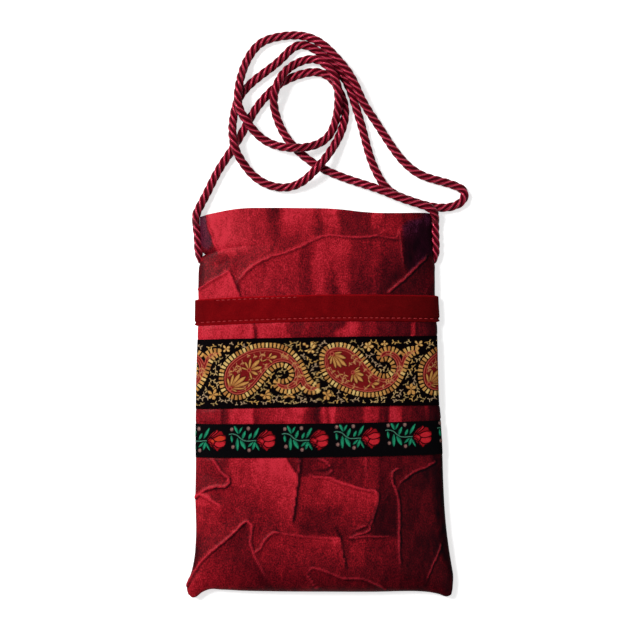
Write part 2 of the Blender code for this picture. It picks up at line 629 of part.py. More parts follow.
def strap_curve():
    """The strap's smooth curve, and the numbers of its points at the two tacks."""
    curve = soft_curve([(x * MM, y * MM, z * MM) for x, y, z in CORD_ROUTE])
    return curve, [tack % len(CORD_ROUTE) * CURVE_STEPS for tack in (LEFT_TACK, RIGHT_TACK)]


def make_cord():
    curve, tacks = strap_curve()
    return tube("shoulder_cord", tube_points(curve, tacks), CORD_DIAMETER, CORD_SIDES, CORD)


def make_tack(name, which):
    """A few turns of thread round the cord, which sew it to a corner of the mouth."""
    curve, tacks = strap_curve()
    along = np.concatenate([[0], np.cumsum(np.linalg.norm(np.diff(curve, axis=0), axis=1))])
    radius = CORD_DIAMETER / 2 + GAP + TACK_THREAD / 2
    points = []
    for k in range(TACK_TURNS * TACK_POINTS + 1):
        angle = 2 * math.pi * k / TACK_POINTS
        at = along[tacks[which]] + TACK_PITCH * (k / TACK_POINTS - TACK_TURNS / 2)
        place = Vector([np.interp(at, along, curve[:, axis]) for axis in range(3)])
        ahead = Vector([np.interp(at + TACK_PITCH, along, curve[:, axis]) for axis in range(3)])
        way = (ahead - place).normalized()
        side = way.cross(Vector((0, 0, 1))).normalized()
        points.append(place + (side * math.cos(angle) + side.cross(way) * math.sin(angle)) * radius)
    return tube(name, points, TACK_THREAD, 1, THREAD)


for old in list(bpy.data.objects):
    bpy.data.objects.remove(old, do_unlink=True)

collection = bpy.data.collections.new("shoulder_bag")
bpy.context.scene.collection.children.link(collection)

TAFFETA = material("creased taffeta", (0.20, 0.006, 0.014), 0.42)
LINING_CLOTH = material("lining taffeta", (0.05, 0.004, 0.010), 0.55)
VELVET_PILE = material("velvet", (0.16, 0.001, 0.003), 0.85)
PAISLEY_WEAVE = material("black ribbon with gold", (0.10, 0.055, 0.015), 0.5)
ROSE_WEAVE = material("black ribbon with roses", (0.012, 0.010, 0.010), 0.5)
CORD = material("twisted satin cord", (0.27, 0.006, 0.018), 0.35)
THREAD = material("sewing thread", (0.12, 0.003, 0.008), 0.5)

make_front_panel()
make_back_panel()
make_lining()
make_velvet_band()
make_ribbon("paisley_ribbon", PAISLEY_HEIGHTS, PAISLEY_WIDTH, PAISLEY_WEAVE)
make_ribbon("rose_ribbon", ROSE_HEIGHTS, ROSE_WIDTH, ROSE_WEAVE)
make_cord()
make_tack("cord_tack_left", 0)
make_tack("cord_tack_right", 1)
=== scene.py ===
# %% [markdown]
# # A creased taffeta shoulder bag
#
# The bag is a small flat pouch that lies on its back, with its long twisted strap laid in loops above it.
# The measured solids of the part come in first. They fix every size, and each soft piece below is laid out
# where its solid is, with the folds, threads and colours that a plain solid can't show.

# %% The measured part
import math
import bmesh
import bpy
import numpy as np
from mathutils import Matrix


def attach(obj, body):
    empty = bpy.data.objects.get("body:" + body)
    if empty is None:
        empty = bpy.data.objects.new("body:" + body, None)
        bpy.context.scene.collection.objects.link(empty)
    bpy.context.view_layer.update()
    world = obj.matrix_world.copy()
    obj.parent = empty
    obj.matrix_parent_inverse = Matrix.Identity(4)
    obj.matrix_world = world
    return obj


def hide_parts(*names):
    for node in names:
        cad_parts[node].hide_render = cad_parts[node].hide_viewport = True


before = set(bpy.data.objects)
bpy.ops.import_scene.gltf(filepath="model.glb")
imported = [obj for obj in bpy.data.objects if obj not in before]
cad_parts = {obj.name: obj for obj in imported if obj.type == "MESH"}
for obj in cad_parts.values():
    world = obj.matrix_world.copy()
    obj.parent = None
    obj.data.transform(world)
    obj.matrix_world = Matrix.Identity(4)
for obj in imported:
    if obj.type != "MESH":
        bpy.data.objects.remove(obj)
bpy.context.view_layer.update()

MM = 0.001
print("solids:", ", ".join(sorted(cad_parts)))

# %% [markdown]
# ## The camera
#
# The photograph looks straight down at the table. Its whole width covers 384 mm of it, since the velvet
# band, 27 pixels across, is a 16 mm ribbon. An 85 mm lens from 0.9 m up sees that much, and is long enough
# for the raised parts of the bag to keep their places.

# %% The camera
PIXEL = 0.6 * MM
PHOTO = 640
LENS, SENSOR = 85.0, 36.0
VIEW_MIDDLE = (0.06 * MM, 49.65 * MM)
TABLE_TO_LENS = PHOTO * PIXEL * LENS / SENSOR + 6 * MM

bpy.ops.object.select_all(action="DESELECT")
bpy.ops.object.camera_add(location=(*VIEW_MIDDLE, TABLE_TO_LENS), rotation=(0, 0, 0))
camera = bpy.context.object
camera.name = "overhead_camera"
camera.data.lens = LENS
camera.data.sensor_width = SENSOR
bpy.context.scene.camera = camera


def photo_place(points):
    """Where points in metres appear in the photograph, in its pixels."""
    scale = PHOTO * LENS / SENSOR / (TABLE_TO_LENS - points[:, 2])
    x = PHOTO / 2 + (points[:, 0] - VIEW_MIDDLE[0]) * scale
    y = PHOTO / 2 - (points[:, 1] - VIEW_MIDDLE[1]) * scale
    return x, y


print(f"camera {TABLE_TO_LENS * 1000:.0f} mm above the table")

# %% [markdown]
# ## Cloth from a flat grid
#
# Every textile here starts as what it is in the workroom: a flat piece. Blender's grid primitive gives one,
# with a UV map that runs straight along the threads. A function then carries each of its points from its
# place on the flat piece to its place on the bag. The UV map stays with the cloth, so a weave follows it.


def flat_piece(name, across, along):
    """A grid of one by one, and the places (0 to 1 across, 0 to 1 along) of its points."""
    bpy.ops.object.select_all(action="DESELECT")
    bpy.ops.mesh.primitive_grid_add(x_subdivisions=across, y_subdivisions=along, size=1)
    piece = bpy.context.object
    piece.name = name
    piece.data.name = name
    places = np.empty(len(piece.data.vertices) * 3)
    piece.data.vertices.foreach_get("co", places)
    places = places.reshape(-1, 3) + 0.5
    return piece, np.clip(places[:, 0], 0, 1), np.clip(places[:, 1], 0, 1)


def lay(piece, points):
    """Puts a piece's points where they belong, and shades it smoothly."""
    piece.data.vertices.foreach_set("co", np.ascontiguousarray(points, dtype=float).ravel())
    piece.data.update()
    for face in piece.data.polygons:
        face.use_smooth = True


def close_seam(piece, distance=0.02 * MM):
    """Joins edges that meet, as where a piece has been wrapped round."""
    bpy.ops.object.select_all(action="DESELECT")
    bpy.context.view_layer.objects.active = piece
    piece.select_set(True)
    bpy.ops.object.mode_set(mode="EDIT")
    bpy.ops.mesh.select_all(action="SELECT")
    bpy.ops.mesh.remove_doubles(threshold=distance)
    bpy.ops.mesh.normals_make_consistent(inside=False)
    bpy.ops.object.mode_set(mode="OBJECT")


def note(piece, name, values):
    """Writes a number for every point of a piece, for its material to read."""
    layer = piece.data.attributes.new(name, "FLOAT", "POINT")
    layer.data.foreach_set("value", np.asarray(values, dtype=float))


print("flat pieces are laid by their points' places")

# %% [markdown]
# ## The strap
#
# The strap is one cord of about a metre: four plies of shiny yarn, twisted together to the left, so that
# on an upright stretch they slant like the middle of the letter S. Its two ends are caught in the side
# seams. Between them it lies on the table in loose loops and passes over itself in low humps.
# Its route was followed in the photograph, with a height at each place, and a soft curve joins them.

# %% The strap's route
CORD_DIAMETER = 4.8 * MM
CURVE_STEPS = 24
CORD_ROUTE = [
    (-72.4, 83.5, 3.3), (-72.8, 89.2, 3.3), (-73.3, 95.2, 3.3), (-73.6, 101.8, 3.3), (-74.6, 108.1, 3.4),
    (-74.2, 113.5, 3.3), (-71.6, 119.2, 2.9), (-66.7, 128.8, 2.4), (-61.1, 139.7, 2.4), (-53.3, 151.7, 2.4),
    (-46.1, 163.7, 2.4), (-38.9, 176.2, 2.4), (-31.4, 185.5, 2.4), (-22.7, 192.8, 2.4), (-10.7, 197.8, 2.4),
    (-1.1, 198.8, 2.4), (6.4, 195.3, 2.4), (11.3, 188.2, 2.4), (14.6, 179.8, 2.4), (14.8, 170.2, 2.4),
    (10.6, 158.2, 3.4), (3.7, 147.2, 6.4), (-1.1, 141.4, 7.5), (-9.2, 133.7, 5.2), (-19.1, 129.6, 2.8),
    (-29.9, 130.7, 2.4), (-39.5, 136.2, 2.4), (-46.7, 144.8, 4.9), (-51.1, 153.7, 7.6), (-52.6, 164.2, 5.2),
    (-51.8, 173.2, 2.4), (-49.1, 182.5, 2.4), (-42.8, 190.9, 2.4), (-33.2, 198.8, 2.4), (-23.3, 206.8, 2.4),
    (-16.1, 213.6, 2.4), (-9.8, 215.2, 2.4), (-2.9, 212.5, 2.4), (7.0, 204.9, 2.4), (16.3, 192.4, 2.4),
    (21.1, 179.8, 2.4), (25.9, 163.7, 2.4), (30.2, 148.0, 2.4), (35.8, 135.4, 2.4), (42.7, 127.0, 2.4),
    (52.9, 122.2, 2.4), (63.1, 118.9, 2.4), (73.3, 117.3, 2.4), (81.4, 118.6, 2.4), (86.3, 122.2, 2.4),
    (86.8, 126.7, 2.4), (82.9, 129.9, 2.4), (72.1, 133.4, 2.4), (60.7, 137.2, 2.4), (50.5, 145.0, 2.4),
    (41.2, 157.3, 2.4), (33.1, 169.7, 3.0), (25.6, 181.3, 5.6), (18.8, 195.4, 6.4), (9.9, 207.0, 6.5),
    (1.3, 215.2, 6.3), (-7.1, 219.7, 4.2), (-16.1, 221.1, 2.4), (-26.9, 219.8, 2.4), (-35.9, 216.2, 2.4),
    (-42.8, 208.0, 2.5), (-46.9, 197.8, 4.6), (-49.0, 186.4, 7.5), (-48.4, 177.2, 7.4), (-44.1, 169.2, 7.8),
    (-37.1, 160.7, 5.6), (-28.1, 155.1, 5.0), (-17.9, 152.8, 7.2), (-11.9, 152.9, 7.2), (-2.9, 154.9, 4.2),
    (5.0, 160.3, 2.6), (9.3, 169.0, 3.4), (11.0, 179.2, 6.6), (10.5, 189.4, 7.5), (7.6, 197.6, 7.5),
    (1.6, 204.3, 6.4), (-6.2, 206.5, 3.4), (-14.6, 203.8, 3.0), (-21.8, 197.5, 6.4), (-25.7, 190.5, 7.5),
    (-27.6, 182.8, 6.0), (-26.6, 173.8, 2.6), (-22.1, 162.8, 2.4), (-14.3, 152.6, 2.4), (-2.3, 143.1, 2.4),
    (10.9, 136.7, 2.5), (24.1, 132.0, 4.0), (37.3, 127.3, 7.1), (49.3, 122.5, 7.5), (58.9, 119.4, 7.5),
    (64.3, 117.4, 7.5), (67.4, 115.5, 7.0), (69.1, 112.9, 5.3), (69.4, 109.3, 3.6), (69.3, 103.6, 3.3),
    (69.5, 97.0, 3.3), (69.5, 90.5, 3.3), (69.1, 83.5, 3.3),
]
LEFT_TACK, RIGHT_TACK = 4, len(CORD_ROUTE) - 5


def soft_curve(route):
    """The smooth curve through the route's points, as points close together."""
    p = np.array(route, float)
    knots = np.concatenate([[0], np.cumsum(np.sqrt(np.linalg.norm(np.diff(p, axis=0), axis=1)))])
    h = np.diff(knots)
    count = len(p)
    system, right = np.eye(count), np.zeros((count, 3))
    for i in range(1, count - 1):
        system[i, i - 1 : i + 2] = h[i - 1], 2 * (h[i - 1] + h[i]), h[i]
        right[i] = 6 * ((p[i + 1] - p[i]) / h[i] - (p[i] - p[i - 1]) / h[i - 1])
    bend = np.linalg.solve(system, right)
    curve = []
    for i in range(count - 1):
        for s in np.arange(CURVE_STEPS) / CURVE_STEPS * h[i]:
            rest = h[i] - s
            curved = (bend[i] * rest**3 + bend[i + 1] * s**3) / (6 * h[i])
            start = (p[i] / h[i] - bend[i] * h[i] / 6) * rest
            curve.append(curved + start + (p[i + 1] / h[i] - bend[i + 1] * h[i] / 6) * s)
    curve.append(p[-1])
    curve = np.array(curve)
    curve[:, 2] = np.maximum(curve[:, 2], CORD_DIAMETER / 2)
    return curve


def travelled(curve):
    return np.concatenate([[0], np.cumsum(np.linalg.norm(np.diff(curve, axis=0), axis=1))])


curve = soft_curve([(x * MM, y * MM, z * MM) for x, y, z in CORD_ROUTE])
along_curve = travelled(curve)
tack_at = [along_curve[k * CURVE_STEPS] for k in (LEFT_TACK, RIGHT_TACK)]
print(f"the strap is {along_curve[-1] * 1000:.0f} mm long")

# %% [markdown]
# ## Twisting it
#
# A curve with a round bevel would give a smooth tube. So a flat grid is wrapped into a cross-section of four
# overlapping circles instead, and this turns steadily along the route. The cord gets thinner at its sewn-in ends and
# under the thread at each corner. How near a point is to a ply's crest or to a groove is noted, so that the yarn can
# get a painted highlight on the one and painted shade in the other.

# %% The twisted cord
PLIES = 4
PLY_RADIUS = 1.15 * MM
PLY_MIDDLE = CORD_DIAMETER / 2 - PLY_RADIUS
TWIST = 20.5 * MM  # a ply goes once round the cord in this length
FULLNESS = 1.1  # the plies' bulges stand out past the measured tube, and their grooves lie inside it
RING_STEP = 0.8 * MM
RING_POINTS = 64


def rings_along(curve, step):
    """Evenly spaced places on a curve, with a pair of sideways directions that don't spin."""
    total = travelled(curve)
    count = round(total[-1] / step)
    at = np.linspace(0, total[-1], count + 1)
    centre = np.stack([np.interp(at, total, curve[:, k]) for k in range(3)], axis=1)
    way = np.gradient(centre, axis=0)
    way /= np.linalg.norm(way, axis=1)[:, None]
    side = np.empty_like(way)
    side[0] = np.cross(way[0], (0, 0, 1))
    for i in range(1, len(way)):
        side[i] = side[i - 1] - way[i] * (side[i - 1] @ way[i])
        side[i] /= np.linalg.norm(side[i])
    return at, centre, way, side, np.cross(way, side)


at, centre, way, side, up_side = rings_along(curve, RING_STEP)
cord, u, v = flat_piece("twisted_cord", len(at) - 1, RING_POINTS)
ring = np.rint(u * (len(at) - 1)).astype(int)
round_ply = v * 2 * math.pi
off_ply = (round_ply + math.pi / PLIES) % (2 * math.pi / PLIES) - math.pi / PLIES
radius = PLY_MIDDLE * np.cos(off_ply) + np.sqrt(PLY_RADIUS**2 - (PLY_MIDDLE * np.sin(off_ply)) ** 2)
to_end = np.minimum(at[ring], at[-1] - at[ring])
thinning = 0.2 + 0.8 * np.sin(np.clip(to_end / (8 * MM), 0, 1) * math.pi / 2)
for tack in tack_at:
    thinning -= 0.16 * np.exp(-(((at[ring] - tack) / (2.2 * MM)) ** 2))
radius *= np.where(to_end < RING_STEP / 2, 0.0, thinning)
angle = round_ply - at[ring] / TWIST * 2 * math.pi
lobe = side[ring] * np.cos(angle)[:, None] + up_side[ring] * np.sin(angle)[:, None]
cord_points = centre[ring] + lobe * (FULLNESS * radius)[:, None]
cord_points[:, 2] = np.maximum(cord_points[:, 2], 0)
lay(cord, cord_points)
# Where the crests get a painted highlight and the grooves painted shade
note(cord, "crest", np.exp(-((off_ply / 0.11) ** 2)))
note(cord, "groove", np.clip((np.abs(off_ply) / (math.pi / PLIES) - 0.3) / 0.6, 0, 1) ** 1.2)
close_seam(cord)
print(f"cord mesh: {len(cord.data.polygons)} faces")

# %% [markdown]
# ## Sewing the strap on
#
# A few turns of sewing thread pull the cord in where it passes the corner of the mouth. A thread this fine
# shows no plies, so a curve with a round bevel is enough, made a mesh.

# %% The thread that holds the cord at each corner
THREAD = 0.45 * MM
TACK_TURNS = 4


def thread_along(name, points, thickness, points_round=8):
    """A fine thread: a curve with a round bevel, made a mesh."""
    line = bpy.data.curves.new(name, "CURVE")
    line.dimensions = "3D"
    line.bevel_depth = thickness / 2
    line.bevel_resolution = max(0, points_round // 4 - 1)
    line.use_fill_caps = True
    spline = line.splines.new("POLY")
    spline.points.add(len(points) - 1)
    for point, place in zip(spline.points, points):
        point.co = (*place, 1.0)
    thread = bpy.data.objects.new(name, line)
    bpy.context.collection.objects.link(thread)
    bpy.ops.object.select_all(action="DESELECT")
    thread.select_set(True)
    bpy.context.view_layer.objects.active = thread
    bpy.ops.object.convert(target="MESH")
    return bpy.context.object


tack_threads = []
for name, tack in zip(("left_tack_thread", "right_tack_thread"), tack_at):
    turned = np.linspace(0, TACK_TURNS * 2 * math.pi, TACK_TURNS * 16 + 1)
    places = tack + (turned / (2 * math.pi) - TACK_TURNS / 2) * 0.8 * MM
    r = CORD_DIAMETER / 2 * 0.86 + THREAD / 2
    middle = np.stack([np.interp(places, at, centre[:, k]) for k in range(3)], axis=1)
    a = np.stack([np.interp(places, at, side[:, k]) for k in range(3)], axis=1)
    b = np.stack([np.interp(places, at, up_side[:, k]) for k in range(3)], axis=1)
    wound = middle + (a * np.cos(turned)[:, None] + b * np.sin(turned)[:, None]) * r
    tack_threads.append(thread_along(name, wound, THREAD))
print("two tacks wound")

# %% [markdown]
# ## The form of the pouch
#
# The pouch is cut wider at its base than at its mouth. The outline below was measured between its four
# corners, and a smooth profile carries the front from the side seams up to 13 mm in the middle.
# These are the same sizes as the solids have, so each piece lies on its neighbours as theirs do.

# %% Sizes of the pouch
SIDE_LENGTH, BASE_WIDTH, MOUTH_WIDTH, MOUTH_SHIFT = 0.2289, 0.1578, 0.1378, -0.0027
LEFT_BULGE = [
    (0.0, 0.0), (0.012, 0.0010), (0.032, 0.0011), (0.056, -0.0009), (0.092, -0.0025), (0.15, -0.0032),
    (0.255, -0.0022), (0.36, -0.0017), (0.457, -0.0010), (0.569, -0.0006), (0.69, -0.0005), (0.806, 0.0),
    (0.855, 0.0003), (0.866, 0.0002), (0.877, -0.0004), (0.888, -0.0008), (0.893, -0.0014), (0.901, -0.0042),
    (0.909, -0.0014), (0.918, -0.0008), (0.932, -0.0006), (0.958, -0.0001), (0.984, 0.0004), (1.0, 0.0006),
]
RIGHT_BULGE = [
    (0.0, 0.0), (0.013, 0.0009), (0.024, 0.0013), (0.051, 0.0019), (0.078, 0.0013), (0.11, 0.0005),
    (0.158, -0.0004), (0.225, -0.0010), (0.305, -0.0009), (0.385, -0.0005), (0.454, -0.0006), (0.5, -0.0009),
    (0.6, -0.0005), (0.7, 0.0002), (0.805, 0.0004), (0.849, 0.0010), (0.864, 0.0012), (0.876, 0.0007),
    (0.894, 0.0003), (0.912, 0.0004), (0.933, 0.0005), (0.957, 0.0006), (0.985, 0.0008), (1.0, 0.0009),
]
BASE_BULGE = [
    (0.0, 0.0), (0.01, 0.0009), (0.047, -0.0025), (0.07, -0.0040), (0.125, -0.0040), (0.20, -0.0034),
    (0.32, -0.0030), (0.54, -0.0028), (0.73, -0.0028), (0.81, -0.0031), (0.87, -0.0031), (0.92, -0.0025),
    (0.96, -0.0012), (0.987, 0.0003), (1.0, 0.0),
]
MOUTH_BULGE = [
    (0.0, 0.0), (0.037, 0.0015), (0.079, 0.0027), (0.145, 0.0043), (0.204, 0.0050), (0.265, 0.0051),
    (0.434, 0.0050), (0.561, 0.0047), (0.626, 0.0040), (0.69, 0.0029), (0.753, 0.0022), (0.857, 0.0021),
    (0.953, 0.0023), (0.987, 0.0022), (1.0, 0.0018),
]
THICKNESS, SEAM_HEIGHT, MOUTH_SHARE, MOUTH_FALL, BASE_ROLL = 0.013, 0.0032, 0.76, 0.030, 0.019
BACK_ROLL, ROLL_POWER, WAVE_HEIGHT, WAVE_LENGTH = 0.006, 0.8, 0.0005, 0.085
FABRIC, GAP, VELVET, VELVET_WIDTH, RECESS_SLOPE = 0.0008, 0.0003, 0.0009, 0.016, 0.0024
VELVET_HEIGHTS = (0.0540, 0.0567, 0.0563)
PAISLEY_HEIGHTS, PAISLEY_WIDTH = (0.0171, 0.0187, 0.0194), 0.0415
ROSE_HEIGHTS, ROSE_WIDTH = (-0.0225, -0.0220, -0.0205), 0.0201
FRONT_RIM = SEAM_HEIGHT + GAP / 2 + FABRIC
BACK_RIM = SEAM_HEIGHT - GAP / 2 - FABRIC
FRONT_RISE = THICKNESS - FABRIC - FRONT_RIM
QUARTER = math.pi / 2
print(f"pouch {SIDE_LENGTH * 1000:.0f} mm long, {BASE_WIDTH * 1000:.0f} mm wide at its base")

# %% [markdown]
# ## Functions of the form
#
# The next three cells give a place on the pouch for every place on a flat piece. Across runs from -1 at the
# left seam to 1 at the right one, and up from 0 at the base to 1 at the mouth. The front's round is counted
# as a turn from -90 to 90 degrees, so that the grid's rows stay evenly spaced where the cloth bends down to
# a seam. First come a soft curve through measured points, a soft step and a rounded corner.

# %% Functions of the form
def through(points, at):
    """The soft curve through (place, value) points, read at many places."""
    places, values = (np.array(row, float) for row in zip(*points))
    slopes = np.gradient(values, places)
    i = np.clip(np.searchsorted(places, at) - 1, 0, len(places) - 2)
    step = places[i + 1] - places[i]
    s = (at - places[i]) / step
    start = (1 + 2 * s) * (1 - s) ** 2 * values[i] + s * (1 - s) ** 2 * step * slopes[i]
    return start + s * s * (3 - 2 * s) * values[i + 1] + s * s * (s - 1) * step * slopes[i + 1]


def ease(s):
    s = np.clip(s, 0, 1)
    return s * s * (3 - 2 * s)


def quarter_round(distance, radius):
    s = np.clip(distance / radius, 0, 1)
    return 1 - np.sqrt(1 - (1 - s) ** 2)


print("a soft step, half way:", ease(0.5))

# %% [markdown]
# ## The outline, seen from above
#
# The pouch hangs between four corners. Each edge bulges from the straight line between two of them by the
# measured amounts, and a place on a panel is found by its share of the way between opposite edges.

# %% The outline
shares = np.linspace(0, 1, 201)
BASE_DROP = (through(MOUTH_BULGE, shares).max() - through(BASE_BULGE, shares).max()) / 2


def edges_at(across, up):
    left = -BASE_WIDTH / 2 + up * (MOUTH_SHIFT + (BASE_WIDTH - MOUTH_WIDTH) / 2) - through(LEFT_BULGE, up)
    right = BASE_WIDTH / 2 + up * (MOUTH_SHIFT - (BASE_WIDTH - MOUTH_WIDTH) / 2) + through(RIGHT_BULGE, up)
    low = -SIDE_LENGTH / 2 - through(BASE_BULGE, (across + 1) / 2) - BASE_DROP
    high = SIDE_LENGTH / 2 + through(MOUTH_BULGE, (across + 1) / 2) - BASE_DROP
    return left, right, low, high


def plan(across, up, inset):
    left, right, low, high = edges_at(across, up)
    x = left + inset + (right - left - 2 * inset) * (across + 1) / 2
    return x, low + inset + (high - low - 2 * inset) * up


def across_of(turn):
    return np.sign(turn) * np.abs(np.sin(turn)) ** ROLL_POWER


def trim_height(heights, across):
    left, middle, right = heights
    return middle + across * (right - left) / 2 + across * across * ((left + right) / 2 - middle)


def up_at(across, y):
    _, _, low, high = edges_at(across, np.full_like(across, 0.5))
    return (y - low - FABRIC) / (high - low - 2 * FABRIC)


print(f"outline ready, base lowered by {BASE_DROP * 1000:.1f} mm")

# %% [markdown]
# ## The panels' inner faces
#
# The front arches up from its seams as a half round that is higher in the middle than at the mouth. The back
# lies on the table and gives way where the velvet band passes under it. Everything else is laid out from
# these two faces, square to them by its distance.

# %% The panels' inner faces


def front_inside(turn, up):
    """The inner face of the front panel. turn goes from -90 to 90 degrees over the pouch's round."""
    x, y = plan(across_of(turn), up, FABRIC)
    base = np.clip(up * SIDE_LENGTH / BASE_ROLL, 0, 1)
    fall = (1 - MOUTH_SHARE) * ease(1 - (1 - up) * SIDE_LENGTH / MOUTH_FALL)
    arch = np.cos(turn) * np.sqrt(1 - (1 - base) ** 2)
    wave = WAVE_HEIGHT * np.sin(2 * math.pi * (x + 0.6 * y) / WAVE_LENGTH)
    return np.stack([x, y, FRONT_RIM + arch * ((1 - fall) * FRONT_RISE + wave - WAVE_HEIGHT)], axis=1)


def back_inside(turn, up):
    """The inner face of the back panel, which gives way to the velvet band under it."""
    across = across_of(turn)
    x, y = plan(across, up, FABRIC)
    left, right, _, _ = edges_at(across, up)
    away = np.abs(y - trim_height(VELVET_HEIGHTS, across)) - VELVET_WIDTH / 2 - GAP
    floor = FABRIC + (VELVET + GAP) * (1 - ease(away / RECESS_SLOPE))
    side = quarter_round((1 - np.abs(across)) * (right - left) / 2, BACK_ROLL)
    rise = 1 - (1 - side) * (1 - quarter_round(up * SIDE_LENGTH, BACK_ROLL))
    return np.stack([x, y, floor + (BACK_RIM - floor) * rise], axis=1)


def outwards(inside, turn, up):
    """Directions out of the bag, square to one of its panels."""
    small = 0.001
    across = inside(np.minimum(turn + small, QUARTER), up) - inside(np.maximum(turn - small, -QUARTER), up)
    along = inside(turn, up + small) - inside(turn, up - small)
    normal = np.cross(across, along)
    normal /= np.linalg.norm(normal, axis=1)[:, None]
    return normal if inside is front_inside else -normal


def off_panel(inside, turn, up, distance):
    return inside(turn, up) + outwards(inside, turn, up) * np.broadcast_to(distance, turn.shape)[:, None]


probe = np.array([-1.0, 0.0, 1.0])
print("front's height across its middle:", np.round(front_inside(probe * QUARTER, probe * 0 + 0.5)[:, 2], 4))

# %% [markdown]
# ## Creases
#
# The red cloth is crinkled taffeta. It was crushed by hand and pressed hot, so sharp thin ridges cross it and the cloth
# between them lies in flat facets that each catch the light differently. A noise texture would give soft lumps instead.
# Here each crease is a line that was followed in the photograph's pixels, with its strength. A point of the cloth rises
# by its distance from the nearest line: a narrow ridge on a low tent whose two slopes are the facets.

# %% Crease lines
CREASES = [
    (0.6, [(205.5, 212), (209, 228), (213, 238), (219, 254)]),
    (1.0, [(237.4, 283.3), (245, 272.8), (256.5, 263.2), (271.9, 255.6), (285, 252.7), (299.6, 247),
           (314, 239.3)]),
    (0.9, [(314, 239.3), (322, 236), (330, 235), (345, 236.5), (357, 237.4), (377, 235.5)]),
    (0.4, [(377, 235.5), (384, 231), (393, 226.5)]),
    (0.5, [(377, 235.5), (388, 237.5), (397, 238), (399.5, 231), (400.5, 240), (402, 255), (403.5, 268),
           (405.5, 272.5)]),
    (1.6, [(386.5, 294.4), (392, 289), (400, 282), (406.5, 276.7), (415, 268), (423.8, 259.4), (427, 254),
           (430, 251.6)]),
    (0.9, [(198, 290), (211.6, 280.5), (228.8, 271), (233.6, 283.3), (239.3, 296.3)]),
    (0.3, [(424, 296), (427, 289), (430, 284)]),
    (1.7, [(209, 452), (215.8, 463.8), (221, 471), (228, 478)]),
    (2.3, [(228, 478), (229, 482.4), (225.5, 486), (215.8, 486.8), (207, 488.6), (200, 493), (195.5, 497.4)]),
    (2.2, [(200, 493.6), (210.5, 499.6), (217.6, 504.5), (222, 508)]),
    (1.4, [(186.6, 585.7), (192.8, 575), (201.7, 561), (210.5, 552), (219.3, 545), (230, 536), (238.8, 527.4),
           (244, 522), (247.6, 520.4), (252, 525.7), (251, 534.5), (250.3, 541.6), (252, 548.6), (253.8, 554)]),
    (0.7, [(253.8, 554), (256.4, 559.2), (261.7, 569.8), (268.8, 582)]),
    (0.9, [(253.8, 553), (260, 548.6), (263.5, 541.6), (268.8, 535.4), (274, 531.9), (279.4, 532.7)]),
    (0.5, [(279.4, 532.7), (290, 534.5), (300, 536), (322.6, 537.6), (337.6, 538.4)]),
    (0.8, [(299.7, 452), (299.2, 465.6), (297.4, 478), (296.2, 490), (294.4, 501), (292.7, 513.3), (290.9, 526.5)]),
    (0.7, [(283, 457), (288.2, 463.8), (291.8, 469), (295.3, 472.7), (296.4, 479.7)]),
    (0.7, [(317, 588.7), (311.3, 581), (307.5, 575.5), (308.5, 569.9), (313.2, 567), (320.7, 569), (332, 573.6),
           (343.3, 578.4), (352.7, 578), (362, 578.4), (371.6, 582), (379, 585), (385.7, 589.7)]),
    (1.0, [(317, 457), (325, 461), (330, 466.5), (331.5, 471), (328, 474.5), (321, 474)]),
    (0.7, [(304, 470), (309, 474.5), (316, 477), (325, 477), (333, 479.2)]),
    (1.2, [(333, 479.2), (339, 482), (350.4, 486), (365.4, 489.5), (374.7, 490.6), (378, 494.7)]),
    (0.6, [(378, 494.7), (378, 500.4), (376.4, 506.8), (373, 517.8), (370, 525)]),
    (0.4, [(366, 454), (366, 466), (366.5, 478), (367, 486)]),
    (0.25, [(391.4, 488.8), (387.4, 494.7), (381, 504)]),
    (0.9, [(350, 537.6), (356.5, 534.6), (365, 532.4), (369.7, 530), (369.7, 525.6), (362, 520)]),
    (0.7, [(351, 532.4), (358.4, 528), (366, 525.4)]),
    (0.7, [(350, 537.8), (366, 536.4), (392.3, 536.4)]),
    (0.5, [(334.8, 526.6), (338.6, 531.3), (339, 538), (340.5, 546.3), (343.3, 556.7), (345.2, 569)]),
    (1.4, [(402, 467), (396, 469), (392.6, 472), (391.4, 477.3), (393.7, 485.4), (397.8, 495.8), (398.9, 505),
           (399.2, 520), (398.9, 549)]),
    (0.7, [(398.9, 549), (399.8, 560.5), (399.8, 572)]),
    (1.1, [(398, 488), (400.6, 481.4), (408, 476.6), (413, 472), (425.5, 467), (434, 461.8)]),
    (0.8, [(440.3, 544.5), (437.5, 554.8), (431.8, 566), (425.2, 583)]),
]
FLAT_SCALE = BASE_WIDTH / math.pi
RIDGE, RIDGE_WIDTH = 0.5 * MM, 0.6 * MM
TENT, TENT_WIDTH = 0.5 * MM, 8 * MM
print(len(CREASES), "creases")

# %% [markdown]
# ## Distance from a crease
#
# The lines are moved about by a fraction of a pixel, as real creases waver, and run out softly where they end in the
# open cloth. Which side of a line faces the light is kept too, for the painted highlight and shade later.

# %% Distance from a crease


def turn_of(across):
    return math.copysign(math.asin(min(abs(across), 1.0) ** (1 / ROLL_POWER)), across)


def line_offset(x, y, line):
    """How far many points lie from the nearest place on a broken line, to the right of it and up from it."""
    best, off_x, off_y = np.full(x.shape, np.inf), np.zeros(x.shape), np.zeros(x.shape)
    for (ax, ay), (bx, by) in zip(line, line[1:]):
        length = max((bx - ax) ** 2 + (by - ay) ** 2, 1e-12)
        share = np.clip(((x - ax) * (bx - ax) + (y - ay) * (by - ay)) / length, 0, 1)
        dx, dy = x - ax - share * (bx - ax), y - ay - share * (by - ay)
        away = np.hypot(dx, dy)
        nearer = away < best
        best, off_x, off_y = (np.where(nearer, new, old) for new, old in ((away, best), (dx, off_x), (dy, off_y)))
    return best, off_x, off_y


